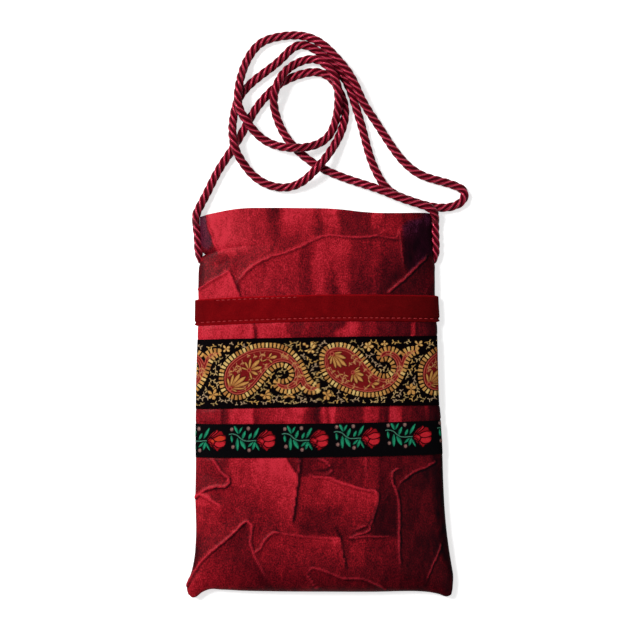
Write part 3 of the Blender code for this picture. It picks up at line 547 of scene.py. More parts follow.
def ripple(x, y, size):
    """A smooth uneven value from -1 to 1, whose waves are about this long."""
    k = 2 * math.pi / size
    waves = np.sin(k * (x + 0.35 * y) + 1.9 * np.sin(k * 0.41 * (y - 0.6 * x) + 0.7))
    waves += np.sin(k * (0.93 * y - 0.52 * x) * 1.37 + 1.3 * np.sin(k * 0.53 * (x + 0.8 * y) + 2.1))
    waves += np.sin(k * (0.71 * x + 0.77 * y) * 0.77 + 4.0)
    return waves / 3


def wobble(x, y):
    """Places in pixels, moved a little, so that no line on the cloth is quite straight or even."""
    moved_x = x + 0.45 * ripple(x, y, 15) + 0.2 * ripple(y, x, 5)
    return moved_x, y + 0.45 * ripple(x + 40, y, 14) + 0.2 * ripple(y, x, 4)


def open_ends(number):
    """The ends of a crease that run out in the cloth, and don't meet another crease."""
    found = []
    for x, y in (CREASES[number][1][0], CREASES[number][1][-1]):
        if x < 200 or x > 430 or min(abs(y - edge) for edge in (211, 295, 456, 590)) < 7:
            continue
        others = [line for k, (_, line) in enumerate(CREASES) if k != number]
        if min(line_offset(np.array([x]), np.array([y]), line)[0][0] for line in others) > 2.5:
            found.append((x, y))
    return found


def crease_field(x, y):
    """For places in pixels: the distance from the nearest crease in metres, how strong that crease is, and
    whether the place is on its side away from the light (1) or towards it (-1)."""
    x, y = wobble(x, y)
    best, power, lee = np.full(x.shape, np.inf), np.zeros(x.shape), np.zeros(x.shape)
    for number, (strength, line) in enumerate(CREASES):
        away, off_x, off_y = line_offset(x, y, line)
        nearer = away < best
        for end_x, end_y in open_ends(number):
            strength = strength * np.clip(np.hypot(x - end_x, y - end_y) / 12, 0.12, 1)
        power = np.where(nearer, strength, power)
        lee = np.where(nearer, (0.8 * off_x + 0.6 * off_y) / np.maximum(away, 1e-6), lee)
        best = np.minimum(best, away)
    return best * PIXEL, power, lee


def trim_cover(across, y):
    """1 where a ribbon or the band holds the cloth flat, 0 a little way from it."""
    cover = np.zeros_like(y)
    trims = ((VELVET_HEIGHTS, VELVET_WIDTH), (PAISLEY_HEIGHTS, PAISLEY_WIDTH), (ROSE_HEIGHTS, ROSE_WIDTH))
    for heights, width in trims:
        away = np.abs(y - trim_height(heights, across)) - width / 2
        cover = np.maximum(cover, 1 - ease((away - 0.2 * MM) / (1.6 * MM)))
    return cover


print(sum(len(open_ends(number)) for number in range(len(CREASES))), "ends of creases run out in the cloth")

# %% [markdown]
# ## The front panel
#
# The front is one piece of cloth on a fine grid, about half a millimetre between its threads here. Its edges
# turn in at the seams and at the mouth, as a sewer turns them. The ribbons hold it flat, and in the two
# narrow strips between them the cloth puckers upright.

# %% The front panel
PANEL_ACROSS, PANEL_ALONG = 292, 322
RELIEF_EDGE = 5 * MM


def pucker(x, strength_at):
    """Upright folds of uneven width, as a height from 0 to 1 across the bag."""
    folds = 0.5 + 0.5 * np.sin(x * 2 * math.pi / 0.0135 + 1.7 * np.sin(x * 2 * math.pi / 0.043) + 0.8)
    fine = 0.5 + 0.5 * np.sin(x * 2 * math.pi / 0.0047 + 2.3 * np.sin(x * 2 * math.pi / 0.019))
    return (0.75 * folds + 0.25 * fine) * strength_at


def between_ribbons(across, y):
    """1 in the two narrow strips of cloth between the velvet and the ribbons."""
    strips = np.zeros_like(y)
    pairs = (
        (VELVET_HEIGHTS, -VELVET_WIDTH / 2, PAISLEY_HEIGHTS, PAISLEY_WIDTH / 2),
        (PAISLEY_HEIGHTS, -PAISLEY_WIDTH / 2, ROSE_HEIGHTS, ROSE_WIDTH / 2),
    )
    for upper, upper_edge, lower, lower_edge in pairs:
        top = trim_height(upper, across) + upper_edge
        low = trim_height(lower, across) + lower_edge
        strips = np.maximum(strips, ((y < top) & (y > low)).astype(float))
    return strips


def closer_rows(v):
    """Rows of the grid, three times closer together where the cloth is seen than under the ribbons."""
    ups = np.linspace(0, 1, 2001)
    middle = np.zeros_like(ups)
    _, _, low, high = edges_at(middle, ups)
    closeness = 1 - 0.67 * trim_cover(middle, low + (high - low) * ups)
    passed = np.concatenate([[0], np.cumsum(closeness[1:] + closeness[:-1])])
    return np.interp(v, passed / passed[-1], ups)


front, u, v = flat_piece("front_cloth", PANEL_ACROSS, PANEL_ALONG)
turn, up = (2 * u - 1) * QUARTER, closer_rows(v)
base = off_panel(front_inside, turn, up, FABRIC)
across = across_of(turn)
away, power, lee = crease_field(*photo_place(base))
free = 1 - trim_cover(across, base[:, 1])
at_edge = ease((QUARTER - np.abs(turn)) * FLAT_SCALE / RELIEF_EDGE) * ease((1 - up) * SIDE_LENGTH / RELIEF_EDGE)
at_edge *= ease(up * SIDE_LENGTH / RELIEF_EDGE)
uneven = 0.85 + 0.3 * ripple(base[:, 0], base[:, 1], 4 * MM) + 0.15 * ripple(base[:, 1], base[:, 0], 1.6 * MM)
ridge = np.exp(-((away / RIDGE_WIDTH / np.sqrt(np.maximum(power, 0.3)) / uneven) ** 3)) * free
tent = np.clip(1 - away / TENT_WIDTH, 0, 1) * free
strip = between_ribbons(across, base[:, 1])
relief = (RIDGE * ridge * np.minimum(power, 1) ** 0.5 + TENT * tent * at_edge) * (1 - strip)
relief += strip * free * 0.5 * MM * pucker(base[:, 0], 1.0)
normal = outwards(front_inside, turn, up)
front_points = base + normal * relief[:, None]
lay(front, front_points)
front_power = power
# Bands beside each crease, for a painted highlight on its side towards the light and painted shade on the other
beside = np.exp(-(((away - 1.2 * MM) / (0.55 * MM)) ** 2)) * power * free
lee_side, lit_side = beside * np.clip(0.25 + lee, 0, 1), beside * np.clip(-lee, 0, 1)
print(f"front: {len(front.data.polygons)} faces, relief up to {relief.max() * 1000:.2f} mm")

# %% [markdown]
# ## The back panel
#
# The photograph doesn't show the back. It is the same cloth, so it gets creases too, which here are the
# front's turned end for end. It lies on the table, where its facets are pressed almost flat.

# %% The back panel
back, u, v = flat_piece("back_cloth", 150, 230)
turn, up = (1 - 2 * u) * QUARTER, v
base = off_panel(back_inside, turn, up, FABRIC)
x, y = photo_place(base)
away, _, _ = crease_field(640 - x, 806 - y)
across = across_of(turn)
band = np.abs(base[:, 1] - trim_height(VELVET_HEIGHTS, across)) - VELVET_WIDTH / 2
clear = ease((band - RECESS_SLOPE) / (3 * MM)) * ease((QUARTER - np.abs(turn)) * FLAT_SCALE / RELIEF_EDGE)
clear *= ease(up * SIDE_LENGTH / RELIEF_EDGE) * ease((1 - up) * SIDE_LENGTH / RELIEF_EDGE)
back_ridge = np.exp(-((away / (1.3 * RIDGE_WIDTH)) ** 2)) * clear
# The cloth between the ridges stands 0.35 mm off the table, and the ridges reach down to it
lifted = 0.35 * MM * clear * (1 - back_ridge)
back_points = base + np.stack([0 * lifted, 0 * lifted, lifted], axis=1)
lay(back, back_points)
# The back's ridges get the same painted highlight in the material
note(back, "ridge", back_ridge)
print(f"back: {len(back.data.polygons)} faces, lowest point {back_points[:, 2].min() * 1000:.2f} mm")

# %% [markdown]
# ## The lining
#
# The lining is a pocket of its own. Only its edge shows inside the mouth. A grid wrapped round into a sleeve
# is closed along the base by pressing its last row together, as the base seam does.

# %% The lining
LINING_SHARE = 1 - 2 * (0.007 + FABRIC + 0.0025) / MOUTH_WIDTH
LINING_LOW, LINING_HIGH = (0.007 + FABRIC + 2 * GAP) / SIDE_LENGTH, 1 - (0.012 + FABRIC + GAP) / SIDE_LENGTH
LINING_MARGIN = 4 * MM


def above_back(turn, up):
    """Where the lining lies on the back panel. It bridges the hollow over the velvet band."""
    across = across_of(turn)
    point = back_inside(turn, up)
    away = np.abs(point[:, 1] - trim_height(VELVET_HEIGHTS, across)) - VELVET_WIDTH / 2 - LINING_MARGIN
    bridge = FABRIC + (VELVET + GAP) * (1 - ease(away / (2 * LINING_MARGIN)))
    point[:, 2] = np.maximum(point[:, 2], bridge) + GAP
    return point


lining, u, v = flat_piece("lining_cloth", 120, 90)
widest = turn_of(LINING_SHARE)
up = LINING_LOW + (LINING_HIGH - LINING_LOW) * v
over = u < 0.5
turn = np.where(over, -widest + 4 * widest * u, 3 * widest - 4 * widest * u)
top = off_panel(front_inside, turn, up, -GAP)
low = above_back(turn, up)
points = np.where(over[:, None], top, low)
ends = np.abs(np.abs(turn) - widest) < 1e-9
points[ends] = (top[ends] + low[ends]) / 2
points[:, 2] = np.where(v < 1e-6, (top[:, 2] + low[:, 2]) / 2, points[:, 2])
lay(lining, points)
close_seam(lining)
print(f"lining: {len(lining.data.polygons)} faces")

# %% [markdown]
# ## The velvet band
#
# A dark red velvet ribbon goes right round the bag and is sewn down by two rows of stitches. Velvet is a
# pile: it has a thickness that stands up, rounded at the selvedges, and sinks where thread pulls it down.
# So this flat piece is wrapped round the bag, and its points rise by a rounded profile and dip along the rows.

# %% The velvet band
VELVET_PILE = 1.1 * MM
BAND_ROUND = 620
lower_row = (-VELVET_WIDTH / 2 + 2.0 * MM, -1.0, 1.0)  # offset from the middle, and from where to where across
upper_row = (VELVET_WIDTH / 2 - 1.3 * MM, -0.86, -0.16)


def band_place(u):
    """Round the bag by u from 0 to 1: first over the front, left to right, and then back under the back."""
    over = u <= 0.5
    turn = np.where(over, -QUARTER + 4 * QUARTER * u, 3 * QUARTER - 4 * QUARTER * u)
    return over, turn


def on_bag(over, turn, y, distance):
    """Points off the bag's front or back by a distance, at a height y up it."""
    across = across_of(turn)
    up = up_at(across, y)
    front_side = off_panel(front_inside, turn, up, FABRIC + distance)
    back_side = off_panel(back_inside, turn, up, FABRIC + distance)
    return np.where(over[:, None], front_side, back_side)


band, u, v = flat_piece("velvet_ribbon", BAND_ROUND, 34)
over, turn = band_place(u)
# The band has two faces: up its outside for the middle of v, and its thin edges at both ends of v
offset = (v - 0.5) * VELVET_WIDTH
selvedge = np.sqrt(1 - np.clip((np.abs(offset) - VELVET_WIDTH / 2 + 0.9 * MM) / (0.9 * MM), 0, 1) ** 2)
height = VELVET_PILE * (0.12 + 0.88 * selvedge)
for row, first, last in (lower_row, upper_row):
    here = (across_of(turn) >= first) & (across_of(turn) <= last) & (over | (first == -1.0))
    height -= np.where(here, 0.42 * MM * np.exp(-(((offset - row) / (0.6 * MM)) ** 2)), 0)
side_bulge = 1 + 0.9 * np.exp(-(((np.abs(turn) - QUARTER) / 0.10) ** 2))
height = np.where(over, height * side_bulge, np.minimum(height, VELVET - 0.02 * MM))
y = trim_height(VELVET_HEIGHTS, across_of(turn)) + offset
lay(band, on_bag(over, turn, y, height))
# Where the selvedges get a painted highlight
note(band, "edge", ease((np.abs(offset) - VELVET_WIDTH / 2 + 0.9 * MM) / (0.5 * MM)))
close_seam(band)
print(f"velvet: {len(band.data.polygons)} faces")

# %% [markdown]
# ## Topstitching
#
# Two rows of pale thread hold the velvet down: the lower one from seam to seam, the upper one seen at the
# left only. A stitch shows about 2 mm of thread, then dips into its needle hole, and they are 5.3 pixels
# apart. One is modelled from a cylinder, and copies of it are laid along each row, sunk in the pile.

# %% Stitches on the velvet
STITCH, STITCH_PITCH = 2.1 * MM, 3.2 * MM


def one_stitch():
    """A short thread that bends down into the cloth at both of its ends, modelled once."""
    bpy.ops.object.select_all(action="DESELECT")
    bpy.ops.mesh.primitive_cylinder_add(vertices=8, radius=0.26 * MM, depth=STITCH, rotation=(0, QUARTER, 0))
    stitch = bpy.context.object
    bpy.ops.object.transform_apply(location=True, rotation=True, scale=True)
    bpy.ops.object.mode_set(mode="EDIT")
    bpy.ops.mesh.select_all(action="SELECT")
    bpy.ops.mesh.bisect(plane_co=(0, 0, 0), plane_no=(1, 0, 0))
    for place in (-0.36, 0.36):
        bpy.ops.mesh.select_all(action="SELECT")
        bpy.ops.mesh.bisect(plane_co=(place * STITCH, 0, 0), plane_no=(1, 0, 0))
    bpy.ops.object.mode_set(mode="OBJECT")
    for vertex in stitch.data.vertices:
        out = abs(vertex.co.x) / (STITCH / 2)
        vertex.co.z += 0.12 * MM - 0.45 * MM * max(0.0, out - 0.6) / 0.4
        vertex.co.y *= 1 - 0.35 * max(0.0, out - 0.6) / 0.4
    for face in stitch.data.polygons:
        face.use_smooth = True
    return stitch


def sew(pattern, row, first, last):
    """Copies of the stitch along a row on the velvet, each turned to lie along it."""
    sewn = []
    x0, x1 = (edges_at(np.array([0.0]), np.array([0.75]))[k][0] for k in (0, 1))
    count = int((last - first) / 2 * (x1 - x0) / STITCH_PITCH)
    for k in range(count):
        share = first + (last - first) * (k + 0.5) / count
        step = 0.5 * STITCH / (x1 - x0) * 2
        turns = np.array([turn_of(max(-0.999, share - step)), turn_of(share), turn_of(min(0.999, share + step))])
        y = trim_height(VELVET_HEIGHTS, across_of(turns)) + row
        p = on_bag(np.ones(3, bool), turns, y, VELVET_PILE - 0.30 * MM)
        way = p[2] - p[0]
        way /= np.linalg.norm(way)
        out = outwards(front_inside, turns, up_at(across_of(turns), y))[1]
        beside = np.cross(out, way)
        beside /= np.linalg.norm(beside)
        rise = np.cross(way, beside)
        copy = pattern.copy()
        copy.data = pattern.data.copy()
        bpy.context.collection.objects.link(copy)
        co = np.empty(len(copy.data.vertices) * 3)
        copy.data.vertices.foreach_get("co", co)
        co = co.reshape(-1, 3)
        placed = p[1] + co[:, :1] * way + co[:, 1:2] * beside + co[:, 2:] * rise
        copy.data.vertices.foreach_set("co", placed.ravel())
        sewn.append(copy)
    return sewn


pattern = one_stitch()
sewn = sew(pattern, lower_row[0], -0.985, 0.985) + sew(pattern, upper_row[0], -0.86, -0.16)
bpy.data.objects.remove(pattern)
bpy.ops.object.select_all(action="DESELECT")
for stitch in sewn:
    stitch.select_set(True)
bpy.context.view_layer.objects.active = sewn[0]
bpy.ops.object.join()
topstitching = bpy.context.object
topstitching.name = "topstitching"
print(len(sewn), "stitches")

# %% [markdown]
# ## Woven ribbons
#
# The two ribbons are jacquard: every figure in them is made by threads that float over a black ground, so
# colour and relief come together, in steps of a thread. That suits a fine grid whose points each hold a
# colour. Small functions lay shapes on it, one over another, as a designer fills squared paper.
# Places are in the photograph's pixels of 0.6 mm, because the figures were followed there.

# %% A ribbon, and shapes for its threads


def linear(hex_colour):
    """A colour as it is written for the screen (#RRGGBB), as the light that the renderer counts in."""
    channels = [int(hex_colour[k : k + 2], 16) / 255 for k in (1, 3, 5)]
    return tuple(c / 12.92 if c <= 0.04045 else ((c + 0.055) / 1.055) ** 2.4 for c in channels)


class Weave:
    """A ribbon's points in the photograph, with the colour and the height of the threads at each."""

    def __init__(self, x, y, ground):
        self.x, self.y = x, y
        self.colour = np.tile(np.array(linear(ground)), (len(x), 1))
        self.float = np.zeros(len(x))

    def lay(self, mask, colour, lift=1.0):
        mask = np.clip(mask, 0, 1)
        self.colour += (np.array(linear(colour)) - self.colour) * mask[:, None]
        self.float += (lift - self.float) * mask

    def near(self, points, reach):
        xs, ys = [p[0] for p in points], [p[1] for p in points]
        inside = (self.x > min(xs) - reach) & (self.x < max(xs) + reach)
        inside &= (self.y > min(ys) - reach) & (self.y < max(ys) + reach)
        return np.flatnonzero(inside)

    def patch(self, index, mask, colour, lift=1.0):
        full = np.zeros(len(self.x))
        full[index] = np.clip(mask, 0, 1)
        self.lay(full, colour, lift)

    def leaf(self, a, b, width, colour, lift=1.0, belly=0.5):
        """A pointed shape from a to b, widest at belly."""
        index = self.near([a, b], width)
        if len(index) == 0:
            return
        dx, dy = b[0] - a[0], b[1] - a[1]
        length = math.hypot(dx, dy)
        along = ((self.x[index] - a[0]) * dx + (self.y[index] - a[1]) * dy) / length**2
        off = np.abs((self.x[index] - a[0]) * dy - (self.y[index] - a[1]) * dx) / length
        s = np.clip(along, 0, 1)
        shape = np.where(s < belly, s / belly, (1 - s) / (1 - belly))
        half = width / 2 * np.sin(shape * math.pi / 2) ** 0.8
        soft = 0.35
        mask = (half - off) / soft + 0.5
        mask[(along < 0) | (along > 1)] = 0
        self.patch(index, mask, colour, lift)

    def line(self, points, width, colour, lift=1.0):
        """A thread of even width through points."""
        index = self.near(points, width)
        if len(index) == 0:
            return
        away, _, _ = line_offset(self.x[index], self.y[index], points)
        self.patch(index, (width / 2 - away) / 0.35 + 0.5, colour, lift)

    def disc(self, centre, radius, colour, lift=1.0, squash=1.0):
        index = self.near([centre], radius * max(1.0, squash))
        if len(index) == 0:
            return
        away = np.hypot(self.x[index] - centre[0], (self.y[index] - centre[1]) / squash)
        self.patch(index, (radius - away) / 0.35 + 0.5, colour, lift)


print("a weave can draw leaves, lines and discs")

# %% [markdown]
# ## Outlines, and laying a ribbon
#
# Larger figures are filled from a smooth closed outline. The ribbon itself is a flat grid, fine enough for
# the narrowest thread that is drawn on it, carried over the front at its own height up the bag.

# %% Outlines, and laying a ribbon


def inside_shape(x, y, shape):
    """Whether each point lies within a closed outline."""
    inside = np.zeros(len(x), bool)
    for (ax, ay), (bx, by) in zip(shape, shape[1:] + shape[:1]):
        if ay != by:
            crossed = ((ay > y) != (by > y)) & (x < ax + (y - ay) * (bx - ax) / (by - ay))
            inside ^= crossed
    return inside


def rounded(points, steps=6, closed=False):
    """A smooth line through points."""
    p = np.array(points, float)
    p = np.vstack([p[-1:], p, p[:2]]) if closed else np.vstack([2 * p[0] - p[1], p, 2 * p[-1] - p[-2]])
    made = []
    for a, b, c, d in zip(p, p[1:], p[2:], p[3:]):
        for s in np.arange(steps) / steps:
            cubic = (3 * b - a - 3 * c + d) * s**3 + (2 * a - 5 * b + 4 * c - d) * s**2
            made.append(tuple(0.5 * (cubic + (c - a) * s + 2 * b)))
    return made if closed else made + [tuple(p[-2])]


def ribbon(name, heights, width, threads_across, threads_along):
    """A flat ribbon laid over the front, and its points' places in the photograph."""
    piece, u, v = flat_piece(name, threads_along, threads_across)
    turn = (2 * u - 1) * math.radians(84)
    offset = (v - 0.5) * width
    y = trim_height(heights, across_of(turn)) + offset
    up = up_at(across_of(turn), y)
    points = off_panel(front_inside, turn, up, FABRIC + GAP + 0.45 * MM)
    normal = outwards(front_inside, turn, up)
    return piece, points, normal, offset


print("ribbon tools ready")

# %% [markdown]
# ## The paisley ribbon
#
# Its figure is the old paisley: a bent drop with a curled tip, set alternately up and down. Each has an
# edge of small gold blocks, a dark red field with fine outlines, and flowers. Black ground with gold twigs
# fills the rest.

# %% Outlines of the two paisley figures
# Each figure has the line of its blocks, the outline of its field, and its flowers: middle and petal tips.
UPRIGHT = {
    "blocks": [
        (320, 385.8), (316, 385), (311.5, 382.5), (308.5, 378.5), (306, 373.5), (303.5, 368), (300.5, 362.5),
        (296.5, 357), (291.5, 352), (285.5, 348.4), (278.5, 346), (271, 345.2), (262, 345.3), (254, 346.6),
        (246, 349.5), (239, 353), (232, 357.5), (226.5, 363), (222.5, 369.5), (221.2, 377), (221.8, 385),
        (224.2, 391.3), (229, 395.6), (236, 397.6), (243, 396.6), (249, 393.3), (254.5, 389.3), (259.5, 384),
        (263.5, 378.5), (267, 374), (270.5, 370.2), (274.5, 367), (279, 365.3), (284, 365.2), (288.5, 367.5),
        (291.2, 371.5), (291.3, 376), (288.8, 379.6), (284.5, 381.3), (280, 381), (276.4, 381),
        (275.4, 384.5), (277.6, 388.3), (282, 390.6), (287.5, 391.6), (293, 391.2), (298, 389.2),
        (301.2, 386.6), (304.5, 389.8), (309, 392), (314, 392.2), (318, 390.6),
    ],
    "field": [
        (318, 388), (312, 387.3), (307.2, 383.5), (304.6, 378.5), (302.2, 372.5), (299.2, 366.5),
        (295, 360.8), (290, 355.8), (284, 352), (276.5, 349.4), (267.5, 348.4), (258.5, 348.9), (249.5, 351.2),
        (241.5, 355.2), (234.5, 360), (228.8, 366), (225.6, 373), (224.9, 380), (226.4, 387.3), (230.4, 391.8),
        (236.4, 394), (243, 392.8), (249, 389.2), (254.2, 384.3), (258.9, 378.5), (263, 373), (267.2, 368.3),
        (272, 364.3), (277.5, 361.8), (283.5, 361.1), (289.5, 362.8), (294, 366.8), (295.6, 372.5),
        (294.8, 378.4), (291.6, 382.8), (286.6, 385.2), (281.4, 384.9), (278.4, 382.9), (277.4, 384.4),
        (279.6, 387), (284.3, 388.6), (291, 388.3), (296.9, 385.4), (300.6, 381.5), (303, 385.8),
        (307, 389.2), (312, 390.3),
    ],
    "flowers": [
        ((230, 388.8), 2.3, [(227.3, 377.5, 3.4), (233.5, 373.8, 3.8), (240.5, 373, 4.8), (246.5, 376, 4.8),
                             (250.5, 381.5, 4.4), (245.5, 388.5, 3.0), (237.5, 391.8, 2.4)]),
        ((249, 370.3), 1.9, [(245, 361.5, 3.2), (250.8, 358, 3.6), (260.2, 359.5, 5.0), (262.5, 366.8, 4.4),
                             (258.5, 375, 4.0), (252, 380, 3.0), (241, 367.5, 2.8)]),
        ((268, 358.6), 1.5, [(271.8, 352.8, 3.0), (277.5, 356.2, 4.2), (272.5, 363, 2.8), (262.5, 361.5, 2.4)]),
    ],
    "twigs": [
        [(233, 367), (235.5, 371), (239, 372)], [(236.5, 363), (237.6, 368), (241.5, 371)],
        [(242, 360), (243, 365)], [(254, 354), (255.5, 358)], [(260, 352), (262, 357), (260, 361)],
        [(265, 352), (263, 356)], [(247, 354), (249, 357)], [(252, 383), (247, 385), (243, 389)],
        [(258, 372), (262, 371)], [(263, 364), (267, 366), (266, 370)], [(255, 379), (249, 377)],
        [(280, 353), (283, 356), (289, 357)], [(283, 352.5), (284, 358)], [(287, 354.5), (286, 359)],
        [(291, 360), (295, 366)], [(294.5, 362), (299, 371), (301, 378)], [(228.5, 372), (231, 376)],
        [(229.3, 369), (231, 373)], [(297.5, 372), (298, 379), (294, 384)], [(284, 387), (290, 386.6)],
        [(305, 380), (308, 385.5), (314, 388.6)], [(240, 366), (241, 369)], [(234, 376.5), (232.5, 380)],
    ],
}
TURNED = {
    "blocks": [
        (419, 351), (414, 353.3), (410, 356.6), (407, 361.6), (405, 368), (402.5, 374), (399.5, 380),
        (395.5, 385.6), (389.5, 390.2), (382, 393.2), (374, 394.7), (365.5, 394.8), (357, 393.5),
        (349, 391), (341, 387.6), (334, 383.6), (328.3, 379), (324.6, 373), (322.3, 366), (321.6, 358.5),
        (323.6, 351.6), (328.2, 347.2), (334.8, 345), (342, 345), (349, 346.8), (354.6, 350.2), (359.6, 354.7),
        (364, 359.6), (368, 364.6), (372, 369.4), (376.5, 373.3), (381.4, 375.7), (386.4, 376),
        (390.8, 373.6), (393.4, 369.6), (393.3, 365.2), (391, 361.3), (386.8, 358.8), (382, 359.4),
        (378.9, 357.2), (379.8, 352.7), (383.6, 349.7), (389, 348.6), (394.6, 349.6), (399, 352.4),
        (401.6, 354.6), (404.2, 351.6), (408.2, 349.4), (412.6, 348.6), (417, 348.8),
    ],
    "field": [
        (415, 351.5), (409.6, 354.6), (405.6, 359), (403.4, 364.5), (401.2, 371.2), (398.4, 377), (393.6, 382.6),
        (388, 386.7), (381, 389.7), (373, 391.2), (365, 391.3), (357.4, 390), (350, 387.6), (342.6, 384.4),
        (336, 380.6), (330.6, 376), (327, 370.2), (325.2, 363.5), (325, 356.8), (327, 351.6), (331.4, 348.6),
        (337, 347.8), (343.6, 348.2), (349.4, 350.2), (354.6, 353.8), (359.4, 358.2), (363.6, 363),
        (367.6, 367.8), (371.8, 372.6), (376.6, 376.6), (382, 379), (388, 379.1), (393.4, 376.2),
        (396.8, 371.2), (397.2, 365), (394.8, 359.2), (390.2, 355.6), (385.4, 355.2), (382, 357),
        (380.8, 355.5), (382.4, 352.8), (386.8, 351.3), (392.2, 352), (397, 354.8), (400, 358.6), (401.8, 361.8),
        (403.6, 356.6), (406.8, 352.8), (411, 351),
    ],
    "flowers": [
        ((332, 353.6), 2.3, [(342.5, 352.2, 3.0), (346.5, 358.5, 4.6), (347.3, 366.8, 5.0), (341.5, 368.2, 4.6),
                             (336.3, 369, 3.6), (330.5, 365, 3.2), (327.8, 360, 2.4)]),
        ((352.8, 372.3), 1.9, [(360.5, 370.5, 3.4), (364.5, 375.5, 4.6), (363.5, 382, 4.6), (357.5, 384, 4.2),
                               (351, 383, 3.2), (360, 366.5, 2.6)]),
        ((371, 384), 1.5, [(379.5, 383.5, 4.4), (374.8, 388.4, 3.4), (366.5, 387.5, 2.8), (368, 379.8, 2.6)]),
    ],
    "twigs": [
        [(335, 374), (338, 377.5)], [(338, 371), (341, 377), (344, 380)], [(344, 372), (345.6, 378), (348, 383)],
        [(331, 369), (334, 373)], [(349, 366), (351, 363), (356, 362)], [(352, 358), (357, 361), (362, 364)],
        [(350, 353), (354, 357.6)], [(363, 367.6), (366, 371)], [(366, 374.6), (371, 378)], [(369, 372), (372, 376)],
        [(383, 382), (388, 381.6), (394, 378.4)], [(386, 384.6), (391, 381)], [(375, 380.6), (380, 380.8)],
        [(399.4, 362), (399, 369), (395.6, 376)], [(401.6, 366), (400, 372.6)], [(386, 353.4), (393, 354.6)],
        [(405, 357), (408.6, 353.4), (413, 352)], [(358, 387.4), (352, 385.6)], [(346, 383.6), (341, 381)],
        [(364, 386.4), (366.6, 389.4)], [(380, 386.6), (384.6, 386.6)], [(330, 371), (328.6, 367)],
    ],
}
print(len(UPRIGHT["blocks"]), "points along the upright figure's blocks,", len(TURNED["blocks"]), "along the other's")

# %% [markdown]
# ## Drawing a paisley
#
# From the outside in, a figure is a black rim, gold blocks in three shades, a dark red field with two fine
# outlines, small leafy sprigs, and flowers of pointed petals. Each is drawn over the last.

# %% Drawing a paisley
GOLD, PALE_GOLD, AMBER, ROSE_TAN = "#C08C4C", "#D4B06C", "#A8703A", "#B07650"
FIELD, OUTLINE, GROUND, TWIG = "#701416", "#A8483A", "#060305", "#B89860"
TWIG_SHADES = (TWIG, "#D0AC74", "#BC9C78", "#D4A45C")
BLOCK_PITCH, BLOCK_LENGTH, BLOCK_WIDTH = 3.9, 2.4, 4.6


def moved(shape, dx, dy):
    """A figure of the pattern again, at another place along the ribbon."""
    return {
        "blocks": [(x + dx, y + dy) for x, y in shape["blocks"]],
        "field": [(x + dx, y + dy) for x, y in shape["field"]],
        "flowers": [
            ((x + dx, y + dy), r, [(a + dx, b + dy, w) for a, b, w in petals])
            for (x, y), r, petals in shape["flowers"]
        ],
        "twigs": [[(x + dx, y + dy) for x, y in twig] for twig in shape["twigs"]],
    }


def draw_blocks(weave, line, seed):
    """The figure's edge of gold blocks, each a little different in tone."""
    path = rounded(line, 5)
    index = weave.near(path, BLOCK_WIDTH)
    x, y = weave.x[index], weave.y[index]
    best, along, run = np.full(len(x), np.inf), np.zeros(len(x)), 0.0
    for (ax, ay), (bx, by) in zip(path, path[1:]):
        length = math.hypot(bx - ax, by - ay)
        share = np.clip(((x - ax) * (bx - ax) + (y - ay) * (by - ay)) / max(length, 1e-9) ** 2, 0, 1)
        away = np.hypot(x - ax - share * (bx - ax), y - ay - share * (by - ay))
        along = np.where(away < best, run + share * length, along)
        best = np.minimum(best, away)
        run += length
    number = np.floor(along / BLOCK_PITCH).astype(int)
    inside = np.abs(along / BLOCK_PITCH - number - 0.5) * BLOCK_PITCH
    mask = np.clip((BLOCK_LENGTH / 2 - inside) / 0.25 + 0.5, 0, 1)
    mask *= np.clip((BLOCK_WIDTH / 2 - best) / 0.35 + 0.5, 0, 1)
    shades = np.random.default_rng(seed).choice([GOLD, PALE_GOLD, AMBER, GOLD], 400)
    for shade in (GOLD, PALE_GOLD, AMBER):
        weave.patch(index, mask * (shades[np.clip(number, 0, 399)] == shade), shade)


def draw_figure(weave, figure, seed):
    field = rounded(figure["field"], 5, closed=True)
    index = weave.near(field, 6)
    x, y = weave.x[index], weave.y[index]
    within = inside_shape(x, y, field)
    away, _, _ = line_offset(x, y, field + field[:1])
    signed = np.where(within, away, -away)
    weave.patch(index, (signed + 3.6) / 0.35, GROUND, 0.0)
    weave.patch(index, (signed + 0.5) / 0.35 + 0.5, FIELD, 0.55)
    weave.patch(index, ((0.5 - np.abs(signed - 0.1)) / 0.35 + 0.5), OUTLINE)
    weave.patch(index, ((0.35 - np.abs(signed - 2.3)) / 0.35 + 0.5), OUTLINE, 0.9)
    draw_blocks(weave, figure["blocks"], seed)
    for twig in figure["twigs"]:
        weave.line(rounded(twig, 3), 0.5, ROSE_TAN)
        for (ax, ay), (bx, by) in zip(twig, twig[1:]):
            for way in (-0.5, 0.5):
                tip = (ax + (bx - ax) * 0.9 + (by - ay) * way, ay + (by - ay) * 0.9 - (bx - ax) * way)
                weave.leaf(((ax + bx) / 2, (ay + by) / 2), tip, 1.0, GOLD if way > 0 else ROSE_TAN)
    for (cx, cy), size, petals in figure["flowers"]:
        for px, py, width in petals:
            start = (cx + (px - cx) * 0.16, cy + (py - cy) * 0.16)
            weave.leaf(start, (px, py), width + 0.5, "#4A0C10", 0.4, belly=0.65)
            tip = (cx + (px - cx) * 0.94, cy + (py - cy) * 0.94)
            weave.leaf(start, tip, width - 1.3, AMBER, belly=0.65)
            weave.leaf(start, tip, (width - 1.3) * 0.45, GOLD, belly=0.7)
            if width > 3.9:
                weave.line([start, (cx + (px - cx) * 0.5, cy + (py - cy) * 0.5)], 0.4, "#8A3A20", 0.6)
        weave.disc((cx, cy), size, OUTLINE)
        weave.disc((cx, cy), size * 0.55, FIELD, 0.6)


print(f"a block is {BLOCK_LENGTH * 0.6:.1f} mm by {BLOCK_WIDTH * 0.6:.1f} mm")
